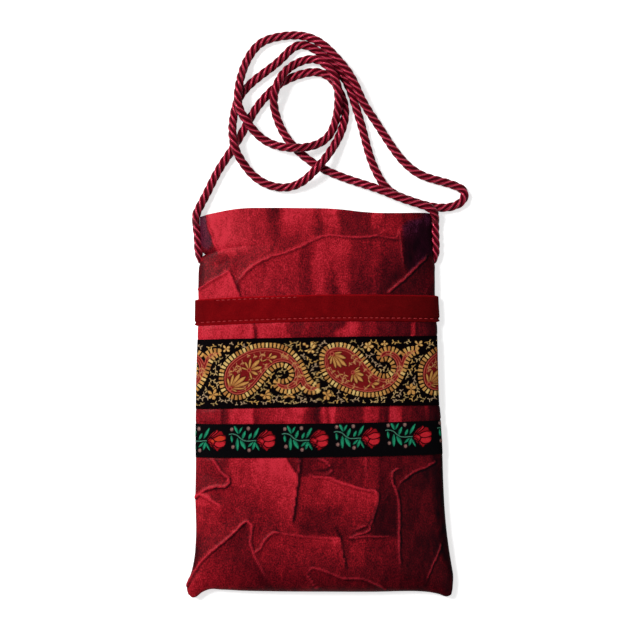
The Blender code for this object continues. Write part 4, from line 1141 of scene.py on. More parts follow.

# %% [markdown]
# ## Twigs and blossoms on the black ground
#
# Gold twigs fill the ground between the figures. Rather than each being placed by hand, they are tried at random
# places, longest first, and kept where there is room. The blossoms are listed one by one.

# %% Twigs and blossoms


def draw_twigs(weave, figures, band, seed):
    """Small leafy twigs that fill the black ground, kept clear of the figures and of each other."""
    dice = np.random.default_rng(seed)
    left, low, step = 188.0, 334.0, 0.5
    cells_x, cells_y = np.meshgrid(np.arange(left, 446, step), np.arange(low, 412, step))
    room = np.minimum(cells_y - band(cells_x) + 32, band(cells_x) + 32 - cells_y)
    for figure in figures:
        near = np.abs(cells_x - np.mean([p[0] for p in figure["field"]])) < 64
        for line, reach in ((rounded(figure["blocks"], 2), 2.9), (rounded(figure["field"], 2, closed=True), 1.4)):
            away, _, _ = line_offset(cells_x[near], cells_y[near], line)
            room[near] = np.minimum(room[near], away - reach)
        inside = inside_shape(cells_x[near], cells_y[near], rounded(figure["field"], 2, closed=True))
        room[near] = np.where(inside, -1, room[near])
    for blossom in BLOSSOMS:
        room = np.minimum(room, np.hypot(cells_x - blossom[0][0], cells_y - blossom[0][1]) - 4.6)
    for steps, count in ((3, 4000), (2, 6000), (1, 9000)):
        for _ in range(count):
            turn, bend = dice.uniform(0, 2 * math.pi), dice.uniform(-0.5, 0.5)
            stem = [(dice.uniform(191, 443), dice.uniform(342, 404))]
            for _ in range(steps):
                stem.append((stem[-1][0] + math.cos(turn) * 2.8, stem[-1][1] + math.sin(turn) * 2.8))
                turn += bend
            spots = [(int((y - low) / step), int((x - left) / step)) for x, y in stem]
            spots = [(min(max(r, 0), room.shape[0] - 1), min(max(c, 0), room.shape[1] - 1)) for r, c in spots]
            if min(room[spot] for spot in spots) < 1.0:
                continue
            shade = TWIG_SHADES[dice.integers(4)]
            weave.line(stem, 0.4, shade)
            for number, ((ax, ay), (bx, by)) in enumerate(zip(stem, stem[1:])):
                for way in (-1, 1) if number == len(stem) - 2 else (1 - 2 * (number % 2),):
                    fork = math.atan2(by - ay, bx - ax) + way * dice.uniform(0.7, 1.0)
                    root = (ax + (bx - ax) * 0.6, ay + (by - ay) * 0.6)
                    tip = (root[0] + math.cos(fork) * 2.9, root[1] + math.sin(fork) * 2.9)
                    weave.leaf(root, tip, 0.8, shade, belly=0.6)
            r, c = spots[len(spots) // 2]
            r0, c0 = max(0, r - 26), max(0, c - 26)
            window = np.s_[r0 : r + 27, c0 : c + 27]
            taken, _, _ = line_offset(cells_x[window], cells_y[window], stem)
            room[window] = np.minimum(room[window], taken - 2.0)


def draw_blossom(weave, centre, petals, shade=GOLD):
    """A flower on the black ground. Each petal is its tip, seen from the middle, and its width."""
    cx, cy = centre
    weave.disc(centre, 5.4, GROUND, 0.0)
    for dx, dy, width in petals:
        weave.leaf((cx, cy), (cx + dx * 1.1, cy + dy * 1.1), width + 0.9, GROUND, 0.2, belly=0.6)
        weave.leaf((cx + dx * 0.15, cy + dy * 0.15), (cx + dx, cy + dy), width * 0.85, GOLD, belly=0.6)
        weave.leaf((cx + dx * 0.2, cy + dy * 0.2), (cx + dx * 0.9, cy + dy * 0.9), width * 0.4, shade, belly=0.6)
    weave.disc(centre, 0.9, AMBER)


BLOSSOMS = [
    ((311, 349.5), [(-5.5, -5, 3.6), (1, -8, 4.4), (4.5, -5, 3.6), (-6.5, 1.5, 2.6), (-3, 3.6, 2.6), (3, 3.6, 3.4)]),
    ((305.6, 345), [(-2.6, -1.6, 3.2), (2.6, 2.0, 3.2)]),
    ((226, 349), [(-2.5, -3.5, 2.6), (3.8, -2.4, 3.0), (3.6, 2.4, 3.0), (-2.4, 3.0, 2.4)]),
    ((265, 395.5), [(4, -6, 3.4), (6, -1.5, 4.0), (5.5, 3, 3.8), (-1, 3.6, 3.2), (-5, -0.6, 2.6)]),
    ((213, 395), [(-5, -4, 3.0), (3, -6, 3.0), (5.5, -1, 3.0), (1.4, 4.6, 4.2), (-4.4, 3.4, 3.0)]),
    ((327, 395), [(-4, -3, 3.0), (2.6, -5, 3.2), (5, 0, 3.4), (-3, 4.6, 3.2), (1.6, 5, 3.0)]),
    ((368.4, 346.5), [(-4.6, 1, 3.0), (-3, -3.6, 3.0), (2, -5, 3.0), (5.4, 0, 3.6), (0.6, 5, 4.0)]),
    ((411, 389), [(-5, -3, 3.0), (0.6, -5.6, 3.6), (5, -2.4, 3.4), (3.6, 5.4, 4.2), (-3, 6, 3.8)]),
    ((418.5, 344.5), [(-3.6, -3.6, 2.4), (3.6, -3.6, 3.0), (4.4, 1, 2.6), (-3, 2.4, 2.4)]),
    ((384.5, 343.5), [(-3.6, 1, 2.4), (0, -3, 2.4), (3.6, 0.6, 2.4), (0.6, 3, 2.4)]),
    ((289, 396), [(-6, 1.6, 2.8), (-2, -2.4, 2.6), (3.6, -2, 2.6), (6, 1.6, 2.6)]),
]
print(len(BLOSSOMS), "blossoms")

# %% [markdown]
# ## Weaving the paisley
#
# The ribbon's grid has a point every quarter of a millimetre. The ground comes first, then twigs wherever
# there is room, then blossoms and the four figures over them. The plain selvedges cover whatever reached
# them. The threads that float stand up by 0.13 mm.

# %% Weaving the paisley ribbon
paisley, points, normal, offset = ribbon("paisley_cloth", PAISLEY_HEIGHTS, PAISLEY_WIDTH, 160, 608)
weave = Weave(*photo_place(points), GROUND)
figures = [moved(TURNED, -197.5, 2.2), UPRIGHT, TURNED, moved(UPRIGHT, 199, -4.4)]


def paisley_middle(x):
    return 374.3 + (x - 196) * (370.4 - 374.3) / (437 - 196)


draw_twigs(weave, figures, paisley_middle, 5)
for blossom in BLOSSOMS:
    draw_blossom(weave, *blossom, shade=PALE_GOLD if blossom[0][1] < 360 else GOLD)
for number, figure in enumerate(figures):
    draw_figure(weave, figure, 11 + number)
selvedge = (np.abs(offset) > PAISLEY_WIDTH / 2 - 1.9 * MM).astype(float)
weave.lay(selvedge, GROUND, 0.0)
lay(paisley, points + normal * (weave.float * 0.13 * MM)[:, None])
layer = paisley.data.attributes.new("threads", "FLOAT_COLOR", "POINT")
layer.data.foreach_set("color", np.c_[weave.colour, np.ones(len(weave.x))].ravel())
note(paisley, "float", weave.float)
print(f"paisley ribbon: {len(paisley.data.polygons)} faces, {np.mean(weave.float > 0.3) * 100:.0f}% of it in figures")

# %% [markdown]
# ## The rose ribbon
#
# Red roses with green sprigs follow one another every 31 mm, with four small dots of mauve round each sprig.
# A rose is one outline in red with lighter petals over it, parted by dark strokes.

# %% Drawing a rose and its sprig
ROSES = [(164.4, 441.8), (216.4, 440.6), (265.8, 440.4), (318.8, 440.0), (370.7, 438.0), (422.2, 436.4), (474, 434)]
RED, RED_LIGHT, ORANGE, STROKE = "#8A1018", "#BA222C", "#BC3420", "#160206"
LEAF_GREEN, LEAF_DARK, STEM, ROSE_GROUND = "#249068", "#115A42", "#4F8A72", "#070608"
MAUVE, MAUVE_LIGHT = "#745450", "#987468"


def draw_rose(weave, cx, cy, warm):
    def at(*points):
        return [(cx + x, cy + y) for x, y in points]

    outer = [(-9, 0.4), (-7.2, -3.6), (-4.4, -7.2), (-1.8, -9), (0.6, -10.6), (2.2, -9.2), (5.4, -8.8), (6.6, -6.4),
             (8.6, -5), (9.4, -1.8), (8.4, -0.4), (9.2, 1.8), (8, 4.8), (5.6, 7.2), (2.4, 8.4), (1.4, 10.4), (-1, 9.2),
             (-3.8, 7), (-6.2, 4)]
    shape = rounded(at(*outer), 4, closed=True)
    index = weave.near(shape, 3)
    x, y = weave.x[index], weave.y[index]
    away, _, _ = line_offset(x, y, shape + shape[:1])
    signed = np.where(inside_shape(x, y, shape), away, -away)
    weave.patch(index, signed / 0.35 + 0.5, RED)
    heart = ORANGE if warm else RED_LIGHT
    weave.leaf(*at((-2.4, -0.6), (8.8, -2.6)), 6.0, heart, belly=0.55)
    weave.leaf(*at((-1.8, 3.6), (8.8, 3.4)), 6.4, RED_LIGHT, belly=0.5)
    weave.leaf(*at((-7.4, 1.6), (-0.6, 8.6)), 2.6, RED_LIGHT)
    weave.leaf(*at((-6.8, -2.6), (1.4, -9.4)), 2.4, RED_LIGHT)
    weave.leaf(*at((-5.6, -0.2), (-1.8, 1.4)), 2.6, heart)
    for stroke in (
        [(-9.2, 0.2), (-5.6, -2.8), (-1.6, -5.6), (1.8, -8.4), (2.4, -9.6)],
        [(-7.2, -2.4), (-4.2, -5.6), (-1.4, -8.2), (-0.8, -9.6)],
        [(-4.8, -2.2), (-0.6, -3.6), (3.4, -5.2), (8.6, -5.4)],
        [(-2.0, 0.2), (1.6, 1.3), (5.4, 0.7), (9.4, -0.7)],
        [(-8.6, 1), (-5.6, 2.2), (-3.4, 5.2), (-0.6, 9.6)],
        [(-4.6, -2.2), (-2.2, -0.4), (-1.4, 2.2), (-3, 4.8)],
        [(-2.4, 4.4), (0.4, 6.8), (3.2, 7.2), (7, 6.4)],
        [(-6.8, 3.2), (-4.6, 5.2), (-3, 7.8)],
    ):
        weave.line(rounded(at(*stroke), 3), 1.0, STROKE, 0.3)


def draw_sprig(weave, cx, cy):
    def at(*points):
        return [(cx + x, cy + y) for x, y in points]

    stem = [(-36.5, -6), (-33, -6.4), (-28.6, -5), (-25.4, -2), (-21.5, 0.2), (-17, 0.6), (-12.5, 0.2), (-9, 0.2)]
    weave.line(rounded(at(*stem), 4), 0.7, STEM)
    leaves = [
        ((-27.4, -6.8), (-31.4, -14.6), 3.0), ((-27, -6.8), (-24.0, -13.0), 2.4), ((-34.4, -5), (-33.4, 1.6), 2.8),
        ((-28.6, -2.0), (-28.4, 10.4), 3.8), ((-25.4, -0.4), (-20.2, 8.6), 4.4), ((-23.6, -1.2), (-20.6, -9.4), 3.6),
        ((-17.0, -1.2), (-14.2, -7.4), 3.2), ((-12.6, -2.0), (-7.2, -12.4), 3.4), ((-17.6, 6.2), (-12.2, 1.6), 2.8),
        ((-13.2, 9.4), (-10.8, 1.4), 3.4), ((-10.8, 1.6), (-6.4, 9.8), 1.8),
    ]
    for number, (a, b, width) in enumerate(leaves):
        weave.leaf(*at(a, b), width + 1.4, GROUND, 0.0)
        width *= 0.88
        weave.leaf(*at(a, b), width, LEAF_DARK, belly=0.5)
        aside = (0.4, -0.3) if number % 2 else (-0.3, 0.4)
        lit = [(x + aside[0], y + aside[1]) for x, y in (a, b)]
        weave.leaf(*at(*lit), width * 0.62, LEAF_GREEN)
        weave.line(at(a, ((a[0] + b[0]) / 2, (a[1] + b[1]) / 2)), 0.4, LEAF_DARK, 0.8)
    for dx, dy, r in ((-34, -11, 1.6), (-17.4, -11.8, 1.7), (-32.8, 6.6, 1.6), (-16.6, 9.8, 1.6)):
        weave.disc((cx + dx, cy + dy), r, MAUVE, squash=1.2)
        weave.disc((cx + dx + 0.3, cy + dy - 0.3), r * 0.45, MAUVE_LIGHT, squash=1.2)


print(len(ROSES), "roses, the outer ones cut off by the seams")

# %% [markdown]
# ## Weaving the roses
#
# The same steps as for the paisley: draw on the ribbon's points, cover the selvedges, raise the floats.

# %% Weaving the rose ribbon
roses, points, normal, offset = ribbon("rose_cloth", ROSE_HEIGHTS, ROSE_WIDTH, 84, 600)
weave = Weave(*photo_place(points), ROSE_GROUND)
for number, (cx, cy) in enumerate(ROSES):
    draw_sprig(weave, cx, cy)
    draw_rose(weave, cx, cy, warm=number == 1)
selvedge = (np.abs(offset) > ROSE_WIDTH / 2 - 0.8 * MM).astype(float)
weave.lay(selvedge, ROSE_GROUND, 0.0)
lay(roses, points + normal * (weave.float * 0.14 * MM)[:, None])
layer = roses.data.attributes.new("threads", "FLOAT_COLOR", "POINT")
layer.data.foreach_set("color", np.c_[weave.colour, np.ones(len(weave.x))].ravel())
note(roses, "float", weave.float)
print(f"rose ribbon: {len(roses.data.polygons)} faces")

# %% [markdown]
# ## Painted light and shade on the crinkled cloth
#
# Shot taffeta has a red warp and a dark weft, and its facets look crimson or nearly black by the way they face the
# light. That light and shade is painted into the cloth's colour: over the bag it goes from bright at the left, where
# the light comes from, to dark at the right.
# The facets were followed in the photograph's pixels, each with its painted tone from 0 to 1 at two places.
# Narrow gaps in painted deep shade and the places where the blue-black weft shows in painted shade are outlined in the
# same way.

# %% Facets of the cloth
# Each facet: its outline in pixels, then its tone of painted light and shade at one place and at another, and how soft
# its edge is.
FACETS = [
    ([(198, 206), (300, 200), (300, 300), (196, 300)], (205, 230, 0.80), (290, 270, 0.66), 3),
    ([(300, 200), (345, 200), (345, 300), (300, 300)], (300, 240, 0.66), (345, 240, 0.62), 4),
    ([(345, 200), (440, 200), (440, 300), (345, 300)], (350, 250, 0.56), (410, 250, 0.26), 4),
    ([(206, 210), (250, 204), (252, 238), (243, 252), (222, 258), (213, 243), (208, 228)],
     (216, 232, 0.98), (250, 236, 0.76), 2),
    ([(198, 210), (205.5, 213), (208, 228), (213, 243), (219, 255), (214, 263), (203, 262), (197, 250)],
     (200, 226, 0.32), (214, 258, 0.42), 1.2),
    ([(203, 258), (262, 250), (268, 256), (240, 272), (233, 276), (229, 271), (212, 280), (199, 288)],
     (206, 268, 0.50), (250, 256, 0.64), 2),
    ([(198, 258), (204, 262), (204.5, 284), (197, 291)], (200, 262, 0.30), (201, 288, 0.38), 1.5),
    ([(267.5, 204), (281, 204), (281, 233), (276, 240), (269, 236)], (272, 210, 0.36), (276, 238, 0.54), 3),
    ([(281, 204), (316, 204), (316, 234), (300, 241), (283, 238)], (292, 216, 0.90), (300, 240, 0.66), 2.5),
    ([(268, 236), (302, 236), (300, 246), (272, 254)], (280, 238, 0.56), (285, 250, 0.58), 2.5),
    ([(316, 204), (322, 204), (322, 236), (316, 236)], (318, 210, 0.56), (319, 234, 0.42), 2),
    ([(322, 204), (338, 206), (338, 233), (324, 233)], (328, 214, 0.90), (330, 233, 0.66), 2),
    ([(339, 206), (371, 210), (372, 236), (340, 236)], (344, 214, 0.48), (366, 232, 0.40), 2),
    ([(371, 210), (384, 211), (385, 228), (377, 232), (371, 226)], (378, 214, 0.82), (378, 228, 0.66), 2),
    ([(385, 211), (404, 211), (402, 236), (378, 236)], (390, 216, 0.58), (398, 232, 0.66), 2),
    ([(404, 211), (433, 211), (433, 224), (404, 224)], (406, 213, 0.46), (428, 222, 0.14), 2),
    ([(403.5, 223), (433, 215), (433, 249), (424, 259), (409, 272), (404, 262)],
     (406, 226, 0.24), (418, 240, 0.06), 1.5),
    ([(391, 295), (409, 276), (430, 253), (437, 252), (437, 300), (390, 300)],
     (400, 292, 0.25), (430, 270, 0.20), 1),
    ([(198, 290), (211, 281), (229, 271), (234, 283), (240, 297), (198, 302)],
     (225, 280, 0.92), (204, 294, 0.84), 1),
    ([(230, 271), (238, 281), (242, 297), (239.5, 296), (234.5, 283)], (233, 274, 0.46), (240, 294, 0.38), 1.5),
    ([(240, 284), (252, 268), (272, 256), (300, 247), (303, 260), (300, 297), (242, 297)],
     (262, 266, 0.76), (280, 290, 0.66), 2),
    ([(300, 247), (313, 244), (314, 270), (312, 297), (300, 297)], (304, 256, 0.52), (308, 290, 0.46), 2.5),
    ([(313, 241), (324, 238), (326, 297), (313, 297)], (319, 250, 0.84), (320, 290, 0.80), 2),
    ([(326, 237), (351, 239), (350, 297), (326, 297)], (334, 250, 0.80), (346, 288, 0.66), 2),
    ([(329.5, 264), (334, 262), (336, 297), (330, 297)], (332, 270, 0.44), (333, 292, 0.34), 2),
    ([(351, 243), (371, 240), (371, 297), (350, 297)], (356, 250, 0.54), (362, 288, 0.36), 2.5),
    ([(371, 240), (379.5, 240), (380, 297), (371, 297)], (375, 250, 0.60), (376, 288, 0.44), 2),
    ([(380, 240), (401, 240), (404, 262), (404, 276), (386, 294), (380, 297)],
     (384, 250, 0.48), (398, 276, 0.14), 2.5),
    ([(186, 318), (292, 318), (292, 344), (186, 344)], (210, 330, 0.90), (286, 330, 0.84), 2),
    ([(252.6, 322), (255.4, 322), (258, 340), (255, 340)], (254, 325, 0.40), (256, 338, 0.34), 1.2),
    ([(290, 318), (330, 318), (330, 344), (290, 344)], (294, 330, 0.46), (326, 330, 0.48), 3),
    ([(300, 318), (310, 318), (312, 344), (302, 344)], (304, 324, 0.62), (307, 338, 0.50), 3),
    ([(330, 344), (334, 334), (352, 320), (362, 320), (360, 344)], (336, 336, 0.78), (354, 330, 0.88), 2.5),
    ([(362, 318), (378, 318), (378, 344), (361, 344)], (366, 330, 0.50), (375, 330, 0.62), 3),
    ([(378, 318), (442, 318), (442, 344), (378, 344)], (380, 330, 0.40), (436, 330, 0.12), 3),
    ([(407, 344), (411, 334), (411.5, 322), (415, 322), (415, 334), (411, 344)],
     (412, 324, 0.70), (410, 338, 0.84), 1.2),
    ([(418, 318), (426, 318), (426, 344), (418, 344)], (420, 330, 0.34), (425, 330, 0.30), 2),
    ([(186, 404), (222, 404), (222, 426), (186, 426)], (200, 415, 0.56), (220, 415, 0.62), 2),
    ([(221, 404), (228, 404), (228, 426), (221, 426)], (222, 410, 0.36), (227, 410, 0.42), 1.5),
    ([(228, 404), (255, 404), (255, 426), (228, 426)], (230, 415, 0.80), (250, 415, 0.92), 2),
    ([(254, 404), (258, 404), (258, 426), (254, 426)], (255, 410, 0.44), (257, 420, 0.40), 1.4),
    ([(258, 404), (306, 404), (306, 426), (258, 426)], (264, 415, 0.68), (302, 415, 0.90), 2),
    ([(306, 404), (320, 404), (320, 426), (306, 426)], (308, 415, 0.56), (318, 415, 0.14), 2),
    ([(320.5, 404), (336, 404), (336, 426), (322, 426)], (324, 415, 0.86), (332, 415, 0.94), 1.5),
    ([(325, 406), (328, 406), (331, 426), (328, 426)], (326, 408, 0.62), (330, 424, 0.60), 1),
    ([(336, 404), (363, 404), (363, 426), (336, 426)], (340, 415, 0.56), (360, 415, 0.40), 2),
    ([(363, 404), (380, 404), (380, 426), (363, 426)], (366, 415, 0.78), (378, 415, 0.70), 2),
    ([(380, 404), (389, 404), (388, 426), (380, 426)], (382, 415, 0.36), (387, 415, 0.22), 1.5),
    ([(390, 404), (402, 404), (402, 426), (388.5, 426)], (394, 415, 0.88), (400, 415, 0.80), 1.5),
    ([(402, 404), (444, 404), (444, 426), (402, 426)], (404, 415, 0.44), (436, 415, 0.08), 2),
    ([(424, 404), (429, 404), (429, 426), (426, 426)], (426, 410, 0.40), (427, 422, 0.30), 1.5),
    ([(180, 452), (330, 452), (330, 604), (180, 604)], (200, 520, 0.58), (320, 560, 0.46), 3),
    ([(330, 452), (400, 452), (400, 604), (330, 604)], (330, 520, 0.44), (396, 520, 0.28), 4),
    ([(400, 452), (460, 452), (460, 604), (400, 604)], (402, 520, 0.25), (448, 520, 0.05), 2),
    ([(186, 452), (210, 456), (229, 479), (228, 485), (212, 485), (196, 494), (186, 490)],
     (200, 462, 0.58), (218, 482, 0.46), 1),
    ([(210, 452), (232, 452), (230, 478), (222, 470)], (216, 458, 0.44), (230, 462, 0.52), 1.5),
    ([(231, 452), (290, 452), (298, 470), (297, 500), (291, 530), (272, 530), (252, 520), (230, 486)],
     (272, 466, 0.95), (248, 522, 0.42), 2),
    ([(276, 480), (297, 480), (296, 505), (291, 527), (283, 526), (276, 505)], (288, 486, 0.84), (285, 520, 0.70), 4),
    ([(284, 452), (300, 452), (298, 476), (292, 469)], (292, 458, 0.46), (297, 470, 0.38), 1),
    ([(234, 456), (252, 456), (248, 480), (234, 480)], (236, 460, 0.74), (246, 475, 0.72), 4),
    ([(194, 496), (203, 491), (222, 506), (220, 512), (205, 506), (194, 506)], (200, 498, 0.82), (218, 508, 0.80), 1),
    ([(194, 505), (222, 512), (222, 540), (206, 552), (194, 552)], (208, 510, 0.70), (206, 548, 0.48), 3),
    ([(186, 540), (200, 536), (202, 552), (194, 572), (184, 584)], (200, 540, 0.36), (192, 566, 0.12), 2.5),
    ([(222, 488), (250, 492), (250, 518), (226, 536), (222, 520)], (234, 494, 0.60), (236, 526, 0.50), 2.5),
    ([(184, 592), (189, 584), (199, 567), (209, 553), (221, 543), (247, 522), (251, 535), (251, 553), (262, 574),
      (272, 590), (240, 600), (184, 602)], (196, 586, 0.72), (246, 566, 0.38), 1),
    ([(257, 558), (262, 566), (270, 577), (276, 592), (268, 592), (258, 575)], (260, 566, 0.30), (270, 588, 0.20), 2),
    ([(254, 553), (262, 546), (270, 535), (276, 532), (340, 537), (340, 560), (310, 572), (300, 592), (276, 592),
      (262, 570)], (290, 544, 0.60), (290, 588, 0.36), 1.5),
    ([(252, 522), (270, 530), (268, 536), (256, 548), (252, 534)], (256, 528, 0.50), (262, 540, 0.52), 1.5),
    ([(299, 452), (324, 452), (330, 478), (300, 478)], (302, 460, 0.28), (322, 462, 0.46), 2),
    ([(300, 477), (326, 476), (341, 481), (364, 489), (377, 491), (378, 500), (372, 519), (362, 532), (300, 535)],
     (336, 486, 0.80), (330, 528, 0.42), 1.2),
    ([(300, 476), (322, 478), (316, 506), (300, 508)], (306, 490, 0.66), (318, 500, 0.62), 3),
    ([(306, 508), (340, 508), (336, 532), (302, 534)], (320, 512, 0.42), (312, 528, 0.34), 3),
    ([(333, 456), (364, 456), (364, 487), (341, 480), (332, 474)], (340, 466, 0.36), (358, 470, 0.42), 1.5),
    ([(364, 456), (379, 456), (379, 489), (364, 487)], (367, 466, 0.60), (376, 466, 0.46), 1.5),
    ([(379, 456), (399, 456), (392, 471), (396, 487), (399, 500), (399, 536), (372, 536), (374, 512), (379, 500)],
     (384, 466, 0.34), (388, 510, 0.14), 1.5),
    ([(306, 538), (340, 537), (346, 566), (330, 573), (312, 567)], (330, 541, 0.72), (324, 566, 0.44), 1.5),
    ([(331, 538), (339, 537), (340, 544), (332, 545)], (334, 540, 0.92), (336, 544, 0.84), 1.5),
    ([(347, 541), (366, 538), (366, 566), (350, 572)], (352, 546, 0.62), (360, 566, 0.52), 2),
    ([(366, 538), (399, 537), (399, 586), (372, 582), (366, 570)], (372, 545, 0.44), (394, 575, 0.28), 2),
    ([(308, 572), (330, 575), (364, 580), (384, 588), (384, 596), (312, 596)], (330, 584, 0.38), (372, 588, 0.32), 1),
    ([(402, 456), (434, 456), (432, 463), (412, 471), (403, 478)], (404, 462, 0.36), (430, 460, 0.28), 1),
    ([(414, 492), (434, 490), (437, 530), (418, 534)], (420, 500, 0.30), (432, 520, 0.27), 4),
    ([(432, 566), (440, 548), (450, 580), (450, 598), (424, 594)], (434, 580, 0.26), (448, 592, 0.14), 2),
    ([(434, 458), (446, 456), (456, 560), (444, 560), (436, 500)], (438, 470, 0.03), (450, 550, 0.04), 3),
]
GAPS = [
    ([(300.2, 455), (300.8, 470), (298.6, 485), (296.6, 502), (293.6, 520)], 1.5, 0.0),
    ([(335.5, 527), (341.3, 537.5), (342.8, 549), (347, 568)], 1.0, 0.03),
    ([(276.4, 530), (279.5, 532.5)], 1.2, 0.18),
    ([(318, 470), (326, 470.5), (332, 466)], 1.6, 0.16),
    ([(357, 531), (366, 527), (372, 519)], 1.2, 0.18),
    ([(392, 478), (396, 474.5), (401, 470)], 1.2, 0.14),
]

# Painted shade in the weft's blue-black, where the cloth turns so far from the light that its weft shows
WEFT_IN_SHADE = [
    ([(403, 226), (410, 221), (423, 218), (425, 208), (440, 208), (440, 249), (424, 259), (410, 272), (405, 262)],
     (404, 240, 0.5), (418, 236, 0.9), 3),
    ([(192, 206), (204.5, 212), (207, 228), (212, 242), (208, 250), (192, 240)],
     (202, 214, 0.75), (206, 244, 0.5), 1.6),
]
print(len(FACETS), "facets,", len(GAPS), "gaps and", len(WEFT_IN_SHADE), "places that show the weft")

# %% [markdown]
# ## Painting the light and shade
#
# Every point of the cloth gets its facet's painted light and shade, which drifts from one of its two places to the
# other. Sharp edges belong to creases. The edges of soft facets are moved about a little, since cloth has no straight
# shadows. A painted highlight lies on the side of a crease towards the light, and painted shade on the other.

# %% Painting the light and shade
def paint_facet(shading_and_tone, x, y, facet):
    """A facet's tone, which drifts from one of its places to the other, laid inside its outline."""
    outline, (ax, ay, first), (bx, by, last), soft = facet
    xs, ys = [p[0] for p in outline], [p[1] for p in outline]
    near = (x > min(xs) - soft) & (x < max(xs) + soft) & (y > min(ys) - soft) & (y < max(ys) + soft)
    px, py = x[near], y[near]
    away, _, _ = line_offset(px, py, outline + outline[:1])
    signed = np.where(inside_shape(px, py, outline), away, -away)
    share = np.clip(((px - ax) * (bx - ax) + (py - ay) * (by - ay)) / ((bx - ax) ** 2 + (by - ay) ** 2), 0, 1)
    shading_and_tone[near] += (first + (last - first) * share - shading_and_tone[near]) * ease(signed / soft / 2 + 0.5)


x, y = photo_place(front_points)
wx, wy = wobble(x, y)
looser_x = wx + 2.4 * ripple(y, x, 21) + 1.1 * ripple(x, y, 8)
looser_y = wy + 2.4 * ripple(x, y + 9, 19)
# Painted light at the left, fading to painted shade at the right, under the facets
shading_and_tone = 0.6 - 0.4 * (x - 200) / 240
for facet in FACETS:
    if facet[-1] > 1.6:
        paint_facet(shading_and_tone, looser_x, looser_y, (*facet[:3], 1.8 * facet[3]))
    else:
        paint_facet(shading_and_tone, wx, wy, facet)
# Painted highlight on the side of each crease towards the light, painted shade on its other side
shading_and_tone += 0.08 * lit_side - 0.24 * lee_side
shading_and_tone += 0.03 * ripple(x, y, 23) + 0.05 * ripple(x, y * 0.35, 11) + 0.05 * ripple(x, y * 0.3, 6)
# Painted deep shade in the narrow gaps
for line, width, value in GAPS:
    away, _, _ = line_offset(wx, wy, line)
    shading_and_tone += (value - shading_and_tone) * np.exp(-((away / width) ** 2))
shading_and_tone = np.clip(shading_and_tone, 0, 1)
note(front, "shading_and_tone", shading_and_tone)
# Painted shade in the weft's colour, where the cloth turns away from the light
weft_in_shade = np.zeros_like(shading_and_tone)
for facet in WEFT_IN_SHADE:
    paint_facet(weft_in_shade, wx, wy, facet)
note(front, "weft_in_shade", weft_in_shade)
# How strongly each ridge gets its painted highlight in the material
note(front, "ridge", ridge * np.minimum(1.1 * front_power, 1) * (1 - strip) * (0.3 + 0.75 * shading_and_tone))
band_points = np.empty(len(band.data.vertices) * 3)
band.data.vertices.foreach_get("co", band_points)
band_x, _ = photo_place(band_points.reshape(-1, 3))
band_edge = np.empty(len(band.data.vertices))
band.data.attributes["edge"].data.foreach_get("value", band_edge)
# Painted light on the band: brighter at the left, darker at the right and at its far left end, with a painted highlight
# along the selvedges
band_light_and_shade = 0.72 + 0.16 * np.exp(-(((band_x - 262) / 52) ** 2)) - 0.30 * ease((band_x - 330) / 110)
band_light_and_shade += band_edge * (0.8 - 0.3 * ease((band_x - 290) / 60)) - 0.14 * ease((214 - band_x) / 16)
note(band, "shading_and_tone", band_light_and_shade)
bx, by = photo_place(back_points)
note(back, "shading_and_tone", np.clip(0.5 + 0.14 * ripple(bx, by, 60) + 0.1 * ripple(by, bx, 24), 0, 1))
print(f"tone from {shading_and_tone.min():.2f} to {shading_and_tone.max():.2f}")

# %% [markdown]
# ## Edges turned in
#
# The free edges of both panels are turned under, as a sewer presses a seam allowance. Each edge is drawn out
# through the thickness of the doubled cloth and then in under the panel, so that no edge is a bare sheet.

# %% Turning the edges in
ALLOWANCE = 6 * MM


def turn_in(piece, depth):
    """Turns a panel's free edge through the cloth's thickness and then in, towards the middle."""
    bpy.ops.object.select_all(action="DESELECT")
    bpy.context.view_layer.objects.active = piece
    piece.select_set(True)
    bpy.ops.object.mode_set(mode="EDIT")
    bpy.ops.mesh.select_mode(type="EDGE")
    bpy.ops.mesh.select_all(action="DESELECT")
    bpy.ops.mesh.select_non_manifold()
    bpy.ops.mesh.extrude_region_move(TRANSFORM_OT_translate={"value": (0, 0, depth)})
    bpy.ops.mesh.extrude_region_move(TRANSFORM_OT_translate={"value": (0, 0, 0)})
    shares = (1 - 2 * ALLOWANCE / MOUTH_WIDTH, 1 - 2 * ALLOWANCE / SIDE_LENGTH, 1)
    bpy.ops.transform.resize(value=shares, center_override=(0, 0, SEAM_HEIGHT))
    bpy.ops.mesh.select_all(action="SELECT")
    bpy.ops.mesh.normals_make_consistent(inside=False)
    bpy.ops.object.mode_set(mode="OBJECT")


turn_in(front, -FABRIC)
turn_in(back, FABRIC)
print(f"front with its turned edges: {len(front.data.polygons)} faces")

# %% [markdown]
# ## Materials
#
# Each finish is built from a Principled shader with a few nodes. A helper adds a node with its settings and
# links, so a material reads as a list of what feeds what.

# %% Building materials


def new_material(name, roughness, **sockets):
    """A material with a Principled shader, whose constant sockets are set directly."""
    made = bpy.data.materials.new(name)
    made.use_nodes = True
    shader = made.node_tree.nodes["Principled BSDF"]
    shader.inputs["Roughness"].default_value = roughness
    for socket, value in sockets.items():
        shader.inputs[socket.replace("_", " ")].default_value = value
    return made, shader


def add(made, kind, links=(), **settings):
    """One node, with its settings and with links into it: (its socket, other node, that node's socket)."""
    node = made.node_tree.nodes.new("ShaderNode" + kind)
    for key, value in settings.items():
        if key.replace("_", " ") in node.inputs:
            node.inputs[key.replace("_", " ")].default_value = value
        else:
            setattr(node, key, value)
    for socket, other, out in links:
        made.node_tree.links.new(other.outputs[out], node.inputs[socket])
    return node


def join(made, source, out, node, socket):
    """One link, from a node's output into another node that is there already."""
    made.node_tree.links.new(source.outputs[out], node.inputs[socket])


